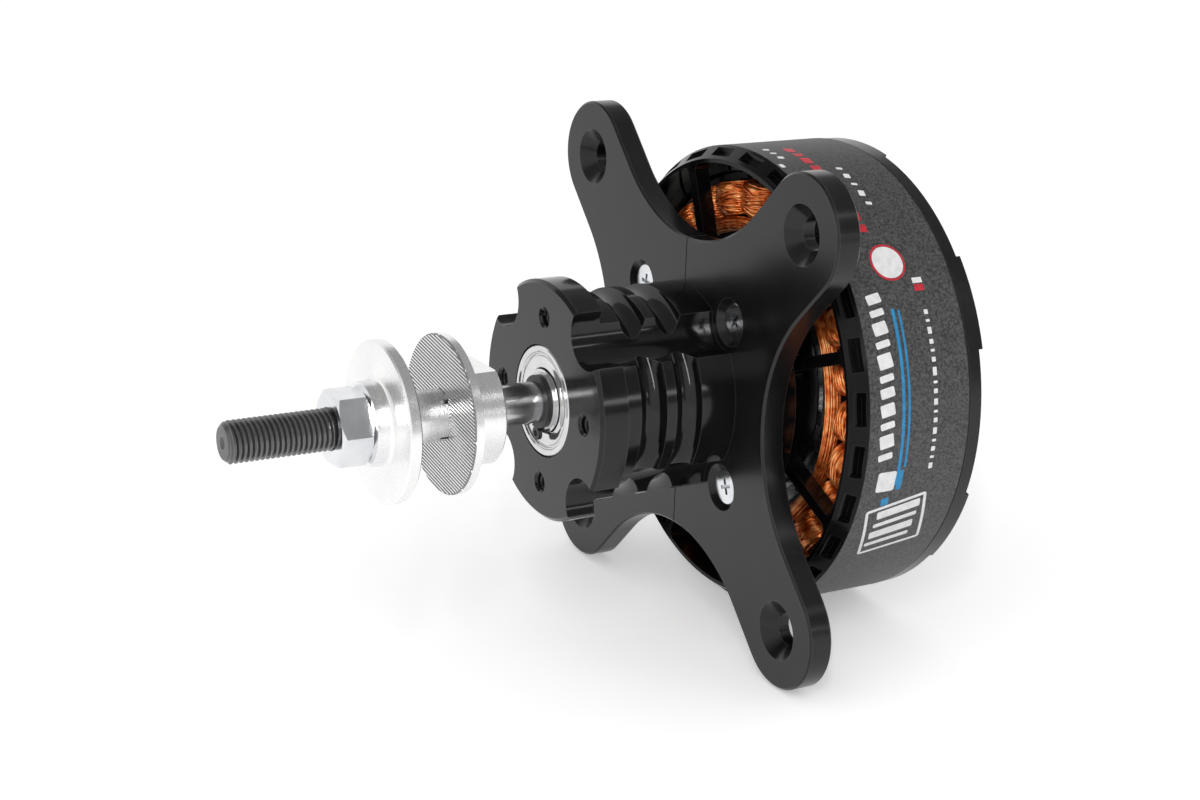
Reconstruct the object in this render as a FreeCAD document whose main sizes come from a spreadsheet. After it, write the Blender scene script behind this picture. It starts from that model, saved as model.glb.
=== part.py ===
import FreeCAD, Part
import math
import os
import re

import Sketcher

# Brushless outrunner motor of a model aircraft, in millimetres.
# X runs along the shaft towards the propeller and Z is up. The origin lies on
# the shaft's axis, in the plane of the mounting cross's rear face.

# Driving sizes: the alias in the sheet and its value.
SIZES = (
    # Clearances
    ("fit_gap", 0.02),
    ("race_gap", 0.05),
    ("cage_gap", 0.08),
    ("face_gap", 0.5),
    ("running_gap", 0.9),
    ("cut_margin", 1.0),
    # Shaft and its retaining ring
    ("shaft_radius", 4.0),
    ("shaft_chamfer", 0.5),
    ("circlip_thickness", 0.8),
    ("circlip_depth", 0.35),
    ("circlip_width", 1.5),
    ("circlip_ear_radius", 1.3),
    ("circlip_ear_hole", 0.6),
    ("circlip_opening", 1.1),
    ("circlip_turn", -110.0),
    ("shim_radius", 5.6),
    ("shim_thickness", 0.5),
    # Front and rear bearing, 8 x 22 x 7
    ("bearing_outer_radius", 11.0),
    ("bearing_width", 7.0),
    ("bearing_balls", 7),
    # Thin bearing that carries the front bell, 30 x 42 x 7
    ("bell_bearing_inner_radius", 15.0),
    ("bell_bearing_outer_radius", 21.0),
    ("bell_bearing_width", 7.0),
    ("bell_bearing_balls", 12),
    # What the bearings have in common: shares of a ring's section, a ball and a shoulder
    ("ball_share", 0.283),
    ("shoulder_share", 0.657),
    ("cage_share", 0.5),
    ("shield_thickness", 0.4),
    ("shield_recess", 0.9),
    ("shield_step", 0.7),
    ("shield_clearance", 0.25),
    ("cage_margin", 0.35),
    # Hub housing, ahead of the mounting cross
    ("hub_face_place", 36.05),
    ("hub_flange_height", 3.05),
    ("hub_flange_thickness", 5.9),
    ("hub_edge_chamfer", 0.7),
    ("barrel_radius", 20.4),
    ("barrel_fillet", 0.8),
    ("groove_radius", 2.8),
    ("groove_depth", 2.5),
    ("groove_setback", 7.2),
    ("groove_pitch", 7.7),
    ("channel_radius", 6.0),
    ("hub_bore_radius", 9.0),
    ("face_hole_circle", 16.5),
    ("face_hole_radius", 1.65),
    ("face_hole_depth", 10.0),
    ("face_hole_chamfer", 0.5),
    # Hub housing, through and behind the cross
    ("neck_radius", 17.0),
    ("rear_flange_margin", 4.5),
    ("rear_flange_thickness", 3.6),
    ("bell_shoulder_height", 1.6),
    ("bell_shoulder_length", 1.3),
    ("tail_radius", 13.0),
    ("tail_overhang", 1.2),
    ("rear_bearing_recess", 0.4),
    # Mounting cross
    ("cross_thickness", 5.0),
    ("mount_spacing", 76.6),
    ("mount_hole_radius", 3.1),
    ("mount_countersink", 2.6),
    ("arm_radius", 11.4),
    ("waist_radius", 29.6),
    ("cross_edge", 0.4),
    ("cross_seam", 0.3),
    ("cross_turn", 45.0),
    # Countersunk screws of the cross
    ("screw_circle", 23.5),
    ("screw_radius", 1.98),
    ("screw_hole_radius", 2.15),
    ("screw_countersink", 2.5),
    ("screw_head_radius", 3.55),
    # Stator
    ("carrier_boss_wall", 3.4),
    ("carrier_rim_wall", 2.5),
    ("carrier_web_inset", 2.8),
    ("carrier_hole_margin", 1.45),
    ("carrier_holes", 6),
    ("core_inset", 0.3),
    ("core_length", 14.0),
    ("yoke_depth", 4.0),
    ("tooth_width", 3.6),
    ("tooth_shoe_thickness", 1.2),
    ("tooth_shoe_angle", 12.2),
    ("tooth_pitch", 15.0),
    ("coil_root_gap", 1.0),
    ("coil_depth", 6.9),
    ("coil_tip_gap", 0.4),
    ("coil_gap", 0.84),
    ("coil_end", 3.9),
    ("coil_phases", 3),
    ("slot_gap", 0.1),
    ("bundle_width", 3.0),
    ("bundle_chamfer", 0.9),
    ("bundle_gap", 0.2),
    # Rotor
    ("rotor_turn", 20.5),
    ("air_gap", 0.5),
    ("magnet_thickness", 2.4),
    ("magnet_overhang", 1.75),
    ("magnet_angle", 11.2),
    ("magnets", 28),
    ("can_radius", 45.9),
    ("can_wall", 2.48),
    ("can_end_gap", 0.8),
    ("label_thickness", 0.28),
    ("label_setback", 0.5),
    ("bell_ring_wall", 2.68),
    ("bell_rim_lip", 0.5),
    ("bell_rim_nose", 0.8),
    ("bell_rim_chamfer", 3.1),
    ("bell_rim_length", 5.0),
    ("bell_spigot", 0.9),
    ("spoke_width", 2.4),
    ("spoke_thickness", 3.2),
    ("spoke_sink", 0.24),
    ("spoke_inner_fillet", 3.0),
    ("spoke_outer_fillet", 1.5),
    ("spokes", 8),
    ("notch_length", 6.4),
    ("notch_width", 1.5),
    ("notch_depth", 2.6),
    ("rear_rim_proud", 0.1),
    ("rear_rim_thickness", 2.6),
    ("rear_rim_width", 7.5),
    ("rear_pad_height", 0.9),
    ("rear_pad_turn", 29.6),
    ("rear_pad_angle", 23.0),
    ("rear_arms", 6),
    ("rear_window_inner", 14.0),
    ("rear_window_fillet", 3.0),
    ("rear_boss_radius", 9.0),
    ("rear_boss_length", 5.5),
    ("rear_nose_radius", 5.4),
    ("grub_radius", 2.0),
    ("grub_inset", 0.4),
    # Propeller adapter
    ("collar_back_place", 48.7),
    ("collar_radius", 10.6),
    ("collar_length", 7.1),
    ("collar_flat", 9.0),
    ("plate_radius", 15.3),
    ("plate_thickness", 1.8),
    ("plate_chamfer", 0.3),
    ("shank_radius", 5.0),
    ("shank_length", 10.4),
    ("cone_radius", 6.2),
    ("cone_land", 1.5),
    ("collet_inset", 0.3),
    ("collet_slot", 0.8),
    ("collet_slot_reach", 1.5),
    ("collet_slots", 4),
    ("stud_radius", 4.0),
    ("stud_tip_place", 100.2),
    ("stud_grip", 5.5),
    ("stud_relief_depth", 0.7),
    ("stud_relief_length", 1.2),
    ("stud_chamfer", 0.9),
    ("centre_drill_radius", 1.3),
    ("centre_drill_depth", 1.5),
    ("washer_radius", 15.35),
    ("washer_thickness", 2.4),
    ("washer_chamfer", 0.3),
    ("boss_radius", 8.0),
    ("boss_length", 3.2),
    ("boss_fillet", 0.8),
    ("nut_across_flats", 13.0),
    ("nut_thickness", 6.3),
    ("nut_chamfer", 0.6),
    ("thread_gap", 0.06),
)

# Places along the shaft, worked out from the driving sizes
HUB_FACE = "hub_face_place"
BEARING_SEAT = f"({HUB_FACE} - bearing_width)"
FLANGE_BACK = f"({HUB_FACE} - hub_flange_thickness)"
REAR_FLANGE = "(-rear_flange_thickness)"
BELL_SEAT_FRONT = f"({REAR_FLANGE} - bell_shoulder_length)"
BELL_SEAT_BACK = f"({BELL_SEAT_FRONT} - bell_bearing_width)"
CORE_FRONT = f"({BELL_SEAT_BACK} - core_inset)"
CORE_BACK = f"({CORE_FRONT} - core_length)"
CORE_MIDDLE = f"({CORE_FRONT} - core_length / 2)"
TAIL_END = f"({CORE_BACK} - tail_overhang)"
REAR_BEARING_BACK = f"({TAIL_END} + rear_bearing_recess)"
REAR_BEARING_FRONT = f"({REAR_BEARING_BACK} + bearing_width)"
BELL_FACE = f"({REAR_FLANGE} - running_gap)"
RIM_SHOULDER = f"({BELL_FACE} - bell_rim_chamfer)"
CAN_FRONT = f"({BELL_FACE} - bell_rim_length)"
CAN_BACK = f"({CORE_BACK} - coil_end - can_end_gap)"
REAR_RIM_BACK = f"({CAN_BACK} - rear_rim_thickness)"
REAR_PAD_BACK = f"({REAR_RIM_BACK} - rear_pad_height)"
REAR_BOSS_BACK = f"({REAR_PAD_BACK} - rear_boss_length)"
REAR_BOSS_FRONT = f"({TAIL_END} - face_gap)"
SHIM_FRONT = f"({HUB_FACE} + shim_thickness)"
CIRCLIP_FRONT = f"({SHIM_FRONT} + circlip_thickness)"
PLATE_BACK = "(collar_back_place + collar_length)"
PLATE_FRONT = f"({PLATE_BACK} + plate_thickness)"
COLLET_BACK = "(collar_back_place + collet_inset)"
CONE_FRONT = f"({PLATE_FRONT} - cone_land)"
SHANK_FRONT = f"({PLATE_FRONT} + shank_length)"
STUD_BACK = f"({SHANK_FRONT} - stud_grip)"
WASHER_FRONT = f"({SHANK_FRONT} + washer_thickness)"
BOSS_FRONT = f"({WASHER_FRONT} + boss_length)"
NUT_FRONT = f"({BOSS_FRONT} + nut_thickness)"

# Radii that follow from a fit, from the can's wall inwards
CAN_INNER = "(can_radius - can_wall)"
SPIGOT_RADIUS = f"({CAN_INNER} - fit_gap)"
MAGNET_OUTER = f"({CAN_INNER} - fit_gap)"
MAGNET_INNER = f"({MAGNET_OUTER} - magnet_thickness)"
TOOTH_TIP = f"({MAGNET_INNER} - air_gap)"
SHOE_START = f"({TOOTH_TIP} - tooth_shoe_thickness)"
COIL_OUTER = f"({SHOE_START} - coil_tip_gap)"
COIL_INNER = f"({COIL_OUTER} - coil_depth)"
YOKE_RADIUS = f"({COIL_INNER} - coil_root_gap)"
CORE_INNER = f"({YOKE_RADIUS} - yoke_depth)"
CORE_SEAT = f"({CORE_INNER} - fit_gap)"
CARRIER_RIM = f"({CORE_INNER} - carrier_rim_wall)"
CARRIER_BOSS = "(tail_radius + carrier_boss_wall)"

# Radii that follow from a seat, from the shaft's axis outwards
BEARING_SEAT_RADIUS = "(bearing_outer_radius + fit_gap)"
HUB_FLANGE = "(barrel_radius + hub_flange_height)"
REAR_FLANGE_RADIUS = "(screw_circle + rear_flange_margin)"
BELL_SHOULDER = "(bell_bearing_inner_radius + bell_shoulder_height)"
BELL_RING_INNER = "(bell_bearing_outer_radius + fit_gap)"
BELL_RING_OUTER = f"({BELL_RING_INNER} + bell_ring_wall)"
BELL_RIM_INNER = f"({SPIGOT_RADIUS} - bell_rim_lip)"
BELL_RIM_NOSE = f"({BELL_RIM_INNER} + bell_rim_nose)"
SKIN = "(can_radius + label_thickness)"
REAR_RIM_RADIUS = "(can_radius + rear_rim_proud)"
REAR_RIM_INNER = f"({REAR_RIM_RADIUS} - rear_rim_width)"
CIRCLIP_GROOVE = "(shaft_radius - circlip_depth)"
CARRIER_GROOVE = "(tail_radius - circlip_depth)"
MOUNT_CIRCLE = "(mount_spacing * sqrt(0.5))"

# How far an edge may lie from the place or radius by which it is found
NEAR = 1e-4

document = FreeCAD.newDocument("BrushlessMotor")
sheet = document.addObject("Spreadsheet::Sheet", "Sizes")
for row, (alias, amount) in enumerate(SIZES, start=1):
    sheet.set(f"A{row}", str(amount))
    sheet.setAlias(f"A{row}", alias)
document.recompute()

ALIASES = {alias for alias, amount in SIZES}
NODES = []


def bound(formula):
    """Return the formula with each alias written as a reference to the sheet."""
    return re.sub(r"[a-z_]+", lambda word: f"Sizes.{word[0]}" if word[0] in ALIASES else word[0], formula)


def number(formula):
    """Return the present value of a formula."""
    return float(sheet.evalExpression(bound(formula)))


def bind(item, **formulas):
    """Tie properties of a document object to the sheet."""
    for name, formula in formulas.items():
        item.setExpression(name, bound(formula))


def new_body(label, turn="0"):
    """Start a sub-part: a body with its own label, turned about the shaft's axis."""
    body = document.addObject("PartDesign::Body", label)
    body.Label = label
    body.Placement = FreeCAD.Placement(FreeCAD.Vector(), FreeCAD.Rotation(FreeCAD.Vector(1, 0, 0), 1))
    body.setExpression("Placement.Rotation.Angle", bound(turn))
    NODES.append(body)
    return body


def origin_part(body, role):
    """Find a plane or an axis of a body's own origin by its role."""
    return next(part for part in body.Origin.OriginFeatures if part.Role == role)


def new_sketch(body, name, plane="XY_Plane", offset="0", turn="0"):
    """Attach a sketch to one of the body's planes, moved along and turned about its normal."""
    sketch = body.newObject("Sketcher::SketchObject", name)
    sketch.AttachmentSupport = (origin_part(body, plane), [""])
    sketch.MapMode = "FlatFace"
    sketch.AttachmentOffset = FreeCAD.Placement(
        FreeCAD.Vector(), FreeCAD.Rotation(FreeCAD.Vector(0, 0, 1), 1))
    sketch.setExpression("AttachmentOffset.Base.z", bound(offset))
    sketch.setExpression("AttachmentOffset.Rotation.Angle", bound(turn))
    return sketch


def constrain(sketch, kind, *values):
    """Add a constraint; where its last value is a formula, tie it to the sheet."""
    *places, last = values
    if not isinstance(last, str):
        return sketch.addConstraint(Sketcher.Constraint(kind, *values))
    index = sketch.addConstraint(Sketcher.Constraint(kind, *places, number(last)))
    sketch.setExpression(f"Constraints[{index}]", bound(last))
    return index


def pin_point(sketch, geometry, end, x, y):
    """Hold one point of a sketch at two formulas' distances from the origin."""
    constrain(sketch, "DistanceX", -1, 1, geometry, end, x)
    constrain(sketch, "DistanceY", -1, 1, geometry, end, y)


def add_circle(sketch, radius, x="0", y="0"):
    """Add a circle with its radius and centre tied to the sheet."""
    centre = FreeCAD.Vector(number(x), number(y), 0)
    circle = sketch.addGeometry(Part.Circle(centre, FreeCAD.Vector(0, 0, 1), number(radius)), False)
    constrain(sketch, "Radius", circle, radius)
    pin_point(sketch, circle, 3, x, y)


def add_outline(sketch, corners, rounds=()):
    """Add a closed outline.

    corners holds pairs of formulas. rounds holds the numbers of the corners
    after which the run is an arc about the sketch's origin.
    """
    places = [FreeCAD.Vector(number(x), number(y), 0) for x, y in corners]
    ends = []
    for index, here in enumerate(places):
        there = places[(index + 1) % len(places)]
        if index not in rounds:
            ends.append((sketch.addGeometry(Part.LineSegment(here, there), False), 1, 2))
            continue
        angles = [math.atan2(here.y, here.x), math.atan2(there.y, there.x)]
        circle = Part.Circle(FreeCAD.Vector(), FreeCAD.Vector(0, 0, 1), here.Length)
        arc = sketch.addGeometry(Part.ArcOfCircle(circle, min(angles), max(angles)), False)
        ends.append((arc, 1, 2) if angles[0] < angles[1] else (arc, 2, 1))
        constrain(sketch, "Coincident", arc, 3, -1, 1)
    for index, (piece, start, finish) in enumerate(ends):
        following, its_start, its_finish = ends[(index + 1) % len(ends)]
        constrain(sketch, "Coincident", piece, finish, following, its_start)
        if index in rounds or index - 1 in rounds or (index == 0 and len(ends) - 1 in rounds):
            continue
        pin_point(sketch, piece, start, *corners[index])
    for index in rounds:
        piece, start, finish = ends[index]
        constrain(sketch, "Radius", piece, f"sqrt(pow({corners[index][0]}; 2) + pow({corners[index][1]}; 2))")
        for end, corner in ((start, index), (finish, (index + 1) % len(ends))):
            constrain(sketch, "DistanceY", -1, 1, piece, end, corners[corner][1])


def turned(body, name, corners, kind="Revolution", axis="0"):
    """Turn an outline of (place, radius) corners about the shaft's axis, or about a parallel one."""
    sketch = new_sketch(body, f"{name}_outline")
    add_outline(sketch, [(x, f"{axis} + {radius}") for x, radius in corners])
    return turn_sketch(body, name, sketch, kind, axis)


def turn_sketch(body, name, sketch, kind="Revolution", axis="0"):
    """Turn a sketch all the way round, as a solid or as a groove."""
    if axis != "0":
        line = sketch.addGeometry(Part.LineSegment(
            FreeCAD.Vector(0, number(axis), 0), FreeCAD.Vector(1, number(axis), 0)), True)
        constrain(sketch, "Horizontal", line)
        pin_point(sketch, line, 1, "0", axis)
        constrain(sketch, "DistanceX", line, 1, line, 2, 1.0)
    feature = body.newObject(f"PartDesign::{kind}", name)
    feature.Profile = sketch
    feature.ReferenceAxis = (sketch, ["H_Axis" if axis == "0" else "Axis0"])
    feature.Angle = 360
    return feature


def raised(body, name, sketch, length, back=False):
    """Pad a sketch along X, or against it."""
    pad = body.newObject("PartDesign::Pad", name)
    pad.Profile = sketch
    pad.Reversed = back
    bind(pad, Length=length)
    return pad


def pocket(body, name, sketch, depth, front=False):
    """Cut a sketch out of the body against X, or along it."""
    cut = body.newObject("PartDesign::Pocket", name)
    cut.Profile = sketch
    cut.Reversed = front
    bind(cut, Length=depth)
    return cut


def ring_of(body, name, features, count, angle=360):
    """Repeat features about the shaft's axis; the count is a formula."""
    pattern = body.newObject("PartDesign::PolarPattern", name)
    pattern.Originals = features
    pattern.Axis = (origin_part(body, "X_Axis"), [""])
    pattern.Angle = angle
    bind(pattern, Occurrences=count)
    body.Tip = pattern
    return pattern


def edges_where(feature, test):
    """Name the edges of a feature's shape that pass a test."""
    document.recompute()
    return [f"Edge{i}" for i, edge in enumerate(feature.Shape.Edges, start=1) if test(edge)]


def in_plane(edge, place):
    """Tell whether an edge lies in the plane across the shaft at a place."""
    box = edge.BoundBox
    return abs(box.XMin - number(place)) < NEAR and abs(box.XMax - number(place)) < NEAR


def circle_of(edge, radius):
    """Tell whether an edge is part of a circle of a radius."""
    return hasattr(edge.Curve, "Radius") and abs(edge.Curve.Radius - number(radius)) < NEAR


def along_shaft(edge):
    """Tell whether an edge is straight and runs along the shaft."""
    box = edge.BoundBox
    return box.YLength < NEAR and box.ZLength < NEAR


def distance_out(edge):
    """Return the distance of an edge's first point from the shaft's axis."""
    point = edge.Vertexes[0].Point
    return math.hypot(point.y, point.z)


def softened(body, name, kind, size, test):
    """Fillet or chamfer the edges of the body's last feature that pass a test."""
    base = body.Tip
    edges = edges_where(base, test)
    feature = body.newObject(f"PartDesign::{kind}", name)
    feature.Base = (base, edges)
    bind(feature, **{"Radius" if kind == "Fillet" else "Size": size})
    body.Tip = feature
    return feature


def make_hub():
    """The housing that carries everything: face, barrel, neck, rear flange and tail."""
    body = new_body("hub_housing")
    seat, bell_seat = BEARING_SEAT_RADIUS, "(bell_bearing_inner_radius - fit_gap)"
    turned(body, "housing", [
        (HUB_FACE, seat), (HUB_FACE, HUB_FLANGE),
        (FLANGE_BACK, HUB_FLANGE), (FLANGE_BACK, "barrel_radius"),
        ("cross_thickness", "barrel_radius"), ("cross_thickness", "neck_radius"),
        ("0", "neck_radius"), ("0", REAR_FLANGE_RADIUS),
        (REAR_FLANGE, REAR_FLANGE_RADIUS), (REAR_FLANGE, BELL_SHOULDER),
        (BELL_SEAT_FRONT, BELL_SHOULDER), (BELL_SEAT_FRONT, bell_seat),
        (BELL_SEAT_BACK, bell_seat), (BELL_SEAT_BACK, "tail_radius"),
        (TAIL_END, "tail_radius"), (TAIL_END, seat),
        (REAR_BEARING_FRONT, seat), (REAR_BEARING_FRONT, "hub_bore_radius"),
        (BEARING_SEAT, "hub_bore_radius"), (BEARING_SEAT, seat)])
    softened(body, "flange_edges", "Chamfer", "hub_edge_chamfer",
             lambda edge: circle_of(edge, HUB_FLANGE) and in_plane(edge, HUB_FACE))
    softened(body, "flange_root", "Fillet", "barrel_fillet",
             lambda edge: circle_of(edge, "barrel_radius") and in_plane(edge, FLANGE_BACK))
    for name, forward in (("front_groove", "0"), ("rear_groove", "groove_pitch")):
        place = f"({FLANGE_BACK} - groove_setback - {forward})"
        sketch = new_sketch(body, f"{name}_outline")
        add_circle(sketch, "groove_radius", place, "(barrel_radius + groove_radius - groove_depth)")
        turn_sketch(body, name, sketch, "Groove")
    clip_back, outside = f"({CORE_BACK} - circlip_thickness - fit_gap)", "(tail_radius + cut_margin)"
    turned(body, "circlip_seat", [
        (CORE_BACK, CARRIER_GROOVE), (CORE_BACK, outside), (clip_back, outside),
        (clip_back, CARRIER_GROOVE)], "Groove")
    sketch = new_sketch(body, "channel_outline", "YZ_Plane", HUB_FACE, "cross_turn")
    add_circle(sketch, "channel_radius", "screw_circle")
    channel = pocket(body, "channel", sketch, f"{HUB_FACE} - cross_thickness")
    ring_of(body, "channels", [channel], "4")
    sketch = new_sketch(body, "face_hole_outline", "YZ_Plane", HUB_FACE)
    add_circle(sketch, "face_hole_radius", "face_hole_circle")
    hole = pocket(body, "face_hole", sketch, "face_hole_depth")
    ring_of(body, "face_holes", [hole], "4")
    softened(body, "face_hole_mouths", "Chamfer", "face_hole_chamfer",
             lambda edge: circle_of(edge, "face_hole_radius") and in_plane(edge, HUB_FACE))
    sketch = new_sketch(body, "flange_hole_outline", "YZ_Plane", "0", "cross_turn")
    add_circle(sketch, "screw_radius + fit_gap", "screw_circle")
    hole = pocket(body, "flange_hole", sketch, "rear_flange_thickness")
    ring_of(body, "flange_holes", [hole], "4")


def make_cross_half(label, side):
    """One half of the mounting cross: two arms and half of the collar round the hub's neck."""
    body = new_body(label)
    sketch = new_sketch(body, "arm_outline", "YZ_Plane", "0", "cross_turn")
    reach, width = number(MOUNT_CIRCLE), number("arm_radius")
    corners = [FreeCAD.Vector(0, -width, 0), FreeCAD.Vector(reach, -width, 0),
               FreeCAD.Vector(reach, width, 0), FreeCAD.Vector(0, width, 0)]
    lower = sketch.addGeometry(Part.LineSegment(corners[0], corners[1]), False)
    circle = Part.Circle(FreeCAD.Vector(reach, 0, 0), FreeCAD.Vector(0, 0, 1), width)
    tip = sketch.addGeometry(Part.ArcOfCircle(circle, -math.pi / 2, math.pi / 2), False)
    upper = sketch.addGeometry(Part.LineSegment(corners[2], corners[3]), False)
    root = sketch.addGeometry(Part.LineSegment(corners[3], corners[0]), False)
    constrain(sketch, "Tangent", lower, 2, tip, 1)
    constrain(sketch, "Tangent", tip, 2, upper, 1)
    constrain(sketch, "Coincident", upper, 2, root, 1)
    constrain(sketch, "Coincident", root, 2, lower, 1)
    constrain(sketch, "Horizontal", lower)
    constrain(sketch, "Horizontal", upper)
    constrain(sketch, "Vertical", root)
    constrain(sketch, "Radius", tip, "arm_radius")
    pin_point(sketch, tip, 3, MOUNT_CIRCLE, "0")
    constrain(sketch, "DistanceX", -1, 1, root, 1, "0")
    arm = raised(body, "arm", sketch, "cross_thickness")
    ring_of(body, "arms", [arm], "4")
    softened(body, "arm_roots", "Fillet", "(waist_radius - arm_radius * sqrt(2)) / (sqrt(2) - 1)",
             lambda edge: along_shaft(edge) and distance_out(edge) < number("waist_radius"))
    softened(body, "arm_edges", "Chamfer", "cross_edge",
             lambda edge: in_plane(edge, "0") or in_plane(edge, "cross_thickness"))
    sketch = new_sketch(body, "neck_hole_outline", "YZ_Plane", "cross_thickness")
    add_circle(sketch, "neck_radius + fit_gap")
    pocket(body, "neck_hole", sketch, "cross_thickness")
    for name, radius, circle, sink in (
            ("mount_hole", "mount_hole_radius", MOUNT_CIRCLE, "mount_countersink"),
            ("screw_hole", "screw_hole_radius", "screw_circle", "screw_countersink")):
        sketch = new_sketch(body, f"{name}_outline", "YZ_Plane", "cross_thickness", "cross_turn")
        add_circle(sketch, radius, circle)
        hole = pocket(body, name, sketch, "cross_thickness")
        ring_of(body, f"{name}s", [hole], "4")
        softened(body, f"{name}_sinks", "Chamfer", sink,
                 lambda edge, wanted=radius: circle_of(edge, wanted) and in_plane(edge, "cross_thickness"))
    sketch = new_sketch(body, "other_half_outline", "YZ_Plane", "cross_thickness")
    seam, edge = f"{side} * cross_seam / 2", f"{-side} * mount_spacing"
    add_outline(sketch, [(edge, "-mount_spacing"), (seam, "-mount_spacing"),
                         (seam, "mount_spacing"), (edge, "mount_spacing")])
    pocket(body, "other_half", sketch, "cross_thickness")


def make_cross_screws():
    """Four countersunk screws that hold the cross to the hub's rear flange."""
    body = new_body("cross_screws", "cross_turn")
    top = "(cross_thickness - screw_hole_radius - screw_countersink + screw_head_radius)"
    neck = f"({top} - screw_head_radius + screw_radius)"
    screw = turned(body, "screw", [
        (REAR_FLANGE, "0"), (top, "0"), (top, "screw_head_radius"), (neck, "screw_radius"),
        (REAR_FLANGE, "screw_radius")], axis="screw_circle")
    ring_of(body, "screws", [screw], "4")


def make_circlip(label, back, radius, turn):
    """A retaining ring with two drilled ears, in a groove of the given radius."""
    body = new_body(label, turn)
    outer = f"({radius} + circlip_width)"
    ear = f"({outer} + circlip_ear_radius / 2)"
    apart = "(circlip_opening + circlip_ear_radius)"
    sketch = new_sketch(body, "ring_outline", "YZ_Plane", back)
    add_circle(sketch, outer)
    raised(body, "ring", sketch, "circlip_thickness")
    for index, side in enumerate((-1, 1)):
        sketch = new_sketch(body, f"ear_outline_{index}", "YZ_Plane", back)
        add_circle(sketch, "circlip_ear_radius", ear, f"{side} * {apart}")
        raised(body, f"ear_{index}", sketch, "circlip_thickness")
        sketch = new_sketch(body, f"ear_hole_outline_{index}", "YZ_Plane", f"{back} + circlip_thickness")
        add_circle(sketch, "circlip_ear_hole", ear, f"{side} * {apart}")
        pocket(body, f"ear_hole_{index}", sketch, "circlip_thickness")
    sketch = new_sketch(body, "opening_outline", "YZ_Plane", f"{back} + circlip_thickness")
    far = f"({ear} + circlip_ear_radius)"
    add_outline(sketch, [("0", "-circlip_opening / 2"), (far, "-circlip_opening / 2"),
                         (far, "circlip_opening / 2"), ("0", "circlip_opening / 2")])
    pocket(body, "opening", sketch, "circlip_thickness")
    sketch = new_sketch(body, "bore_outline", "YZ_Plane", f"{back} + circlip_thickness")
    add_circle(sketch, f"{radius} + fit_gap")
    pocket(body, "bore", sketch, "circlip_thickness")


def make_bearing(prefix, front, inner, outer, width, count):
    """A shielded ball bearing: two rings, two shields, the balls and their cage."""
    back = f"({front} - {width})"
    middle = f"({front} - {width} / 2)"
    pitch = f"(({inner} + {outer}) / 2)"
    ball = f"(ball_share * min({outer} - {inner}; {width}))"
    shoulder = f"(shoulder_share * {ball})"
    low_land = f"({pitch} - {shoulder})"
    high_land = f"({pitch} + {shoulder})"
    seat = f"({high_land} + shield_step)"

    def cut_race(body):
        sketch = new_sketch(body, "race_outline")
        add_circle(sketch, f"{ball} + race_gap", middle, pitch)
        turn_sketch(body, "race", sketch, "Groove")

    body = new_body(f"{prefix}_inner_ring")
    turned(body, "ring", [(back, inner), (front, inner), (front, low_land), (back, low_land)])
    cut_race(body)

    body = new_body(f"{prefix}_outer_ring")
    turned(body, "ring", [
        (back, outer), (front, outer), (front, seat), (f"({front} - shield_recess)", seat),
        (f"({front} - shield_recess)", high_land), (f"({back} + shield_recess)", high_land),
        (f"({back} + shield_recess)", seat), (back, seat)])
    cut_race(body)

    body = new_body(f"{prefix}_shields")
    for name, face in (("front_shield", f"({front} - shield_recess + shield_thickness)"),
                       ("back_shield", f"({back} + shield_recess)")):
        low, high = f"({low_land} + shield_clearance)", f"({seat} - fit_gap)"
        turned(body, name, [(face, low), (face, high), (f"({face} - shield_thickness)", high),
                            (f"({face} - shield_thickness)", low)])

    body = new_body(f"{prefix}_balls")
    sphere = body.newObject("PartDesign::AdditiveSphere", "ball")
    bind(sphere, Radius=ball)
    sphere.AttachmentSupport = (origin_part(body, "YZ_Plane"), [""])
    sphere.MapMode = "FlatFace"
    sphere.setExpression("AttachmentOffset.Base.x", bound(pitch))
    sphere.setExpression("AttachmentOffset.Base.z", bound(middle))
    ring_of(body, "balls", [sphere], count)

    body = new_body(f"{prefix}_cage")
    wall = f"(cage_share * {shoulder})"
    edge, low, high = f"({ball} + cage_margin)", f"({pitch} - {wall})", f"({pitch} + {wall})"
    turned(body, "ring", [
        (f"({middle} - {edge})", low), (f"({middle} + {edge})", low),
        (f"({middle} + {edge})", high), (f"({middle} - {edge})", high)])
    sketch = new_sketch(body, "ball_space_outline", "XZ_Plane")
    add_circle(sketch, f"{ball} + cage_gap", middle)
    space = pocket(body, "ball_space", sketch, f"{high} + cut_margin")
    ring_of(body, "ball_spaces", [space], count)


def make_bearings():
    """The front and rear bearings of the shaft, and the thin one under the front bell."""
    for prefix, front in (("front_bearing", HUB_FACE), ("rear_bearing", REAR_BEARING_FRONT)):
        make_bearing(prefix, front, "(shaft_radius + fit_gap)", "bearing_outer_radius", "bearing_width",
                     "bearing_balls")
    make_bearing("bell_bearing", BELL_SEAT_FRONT, "bell_bearing_inner_radius", "bell_bearing_outer_radius",
                 "bell_bearing_width", "bell_bearing_balls")


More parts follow.
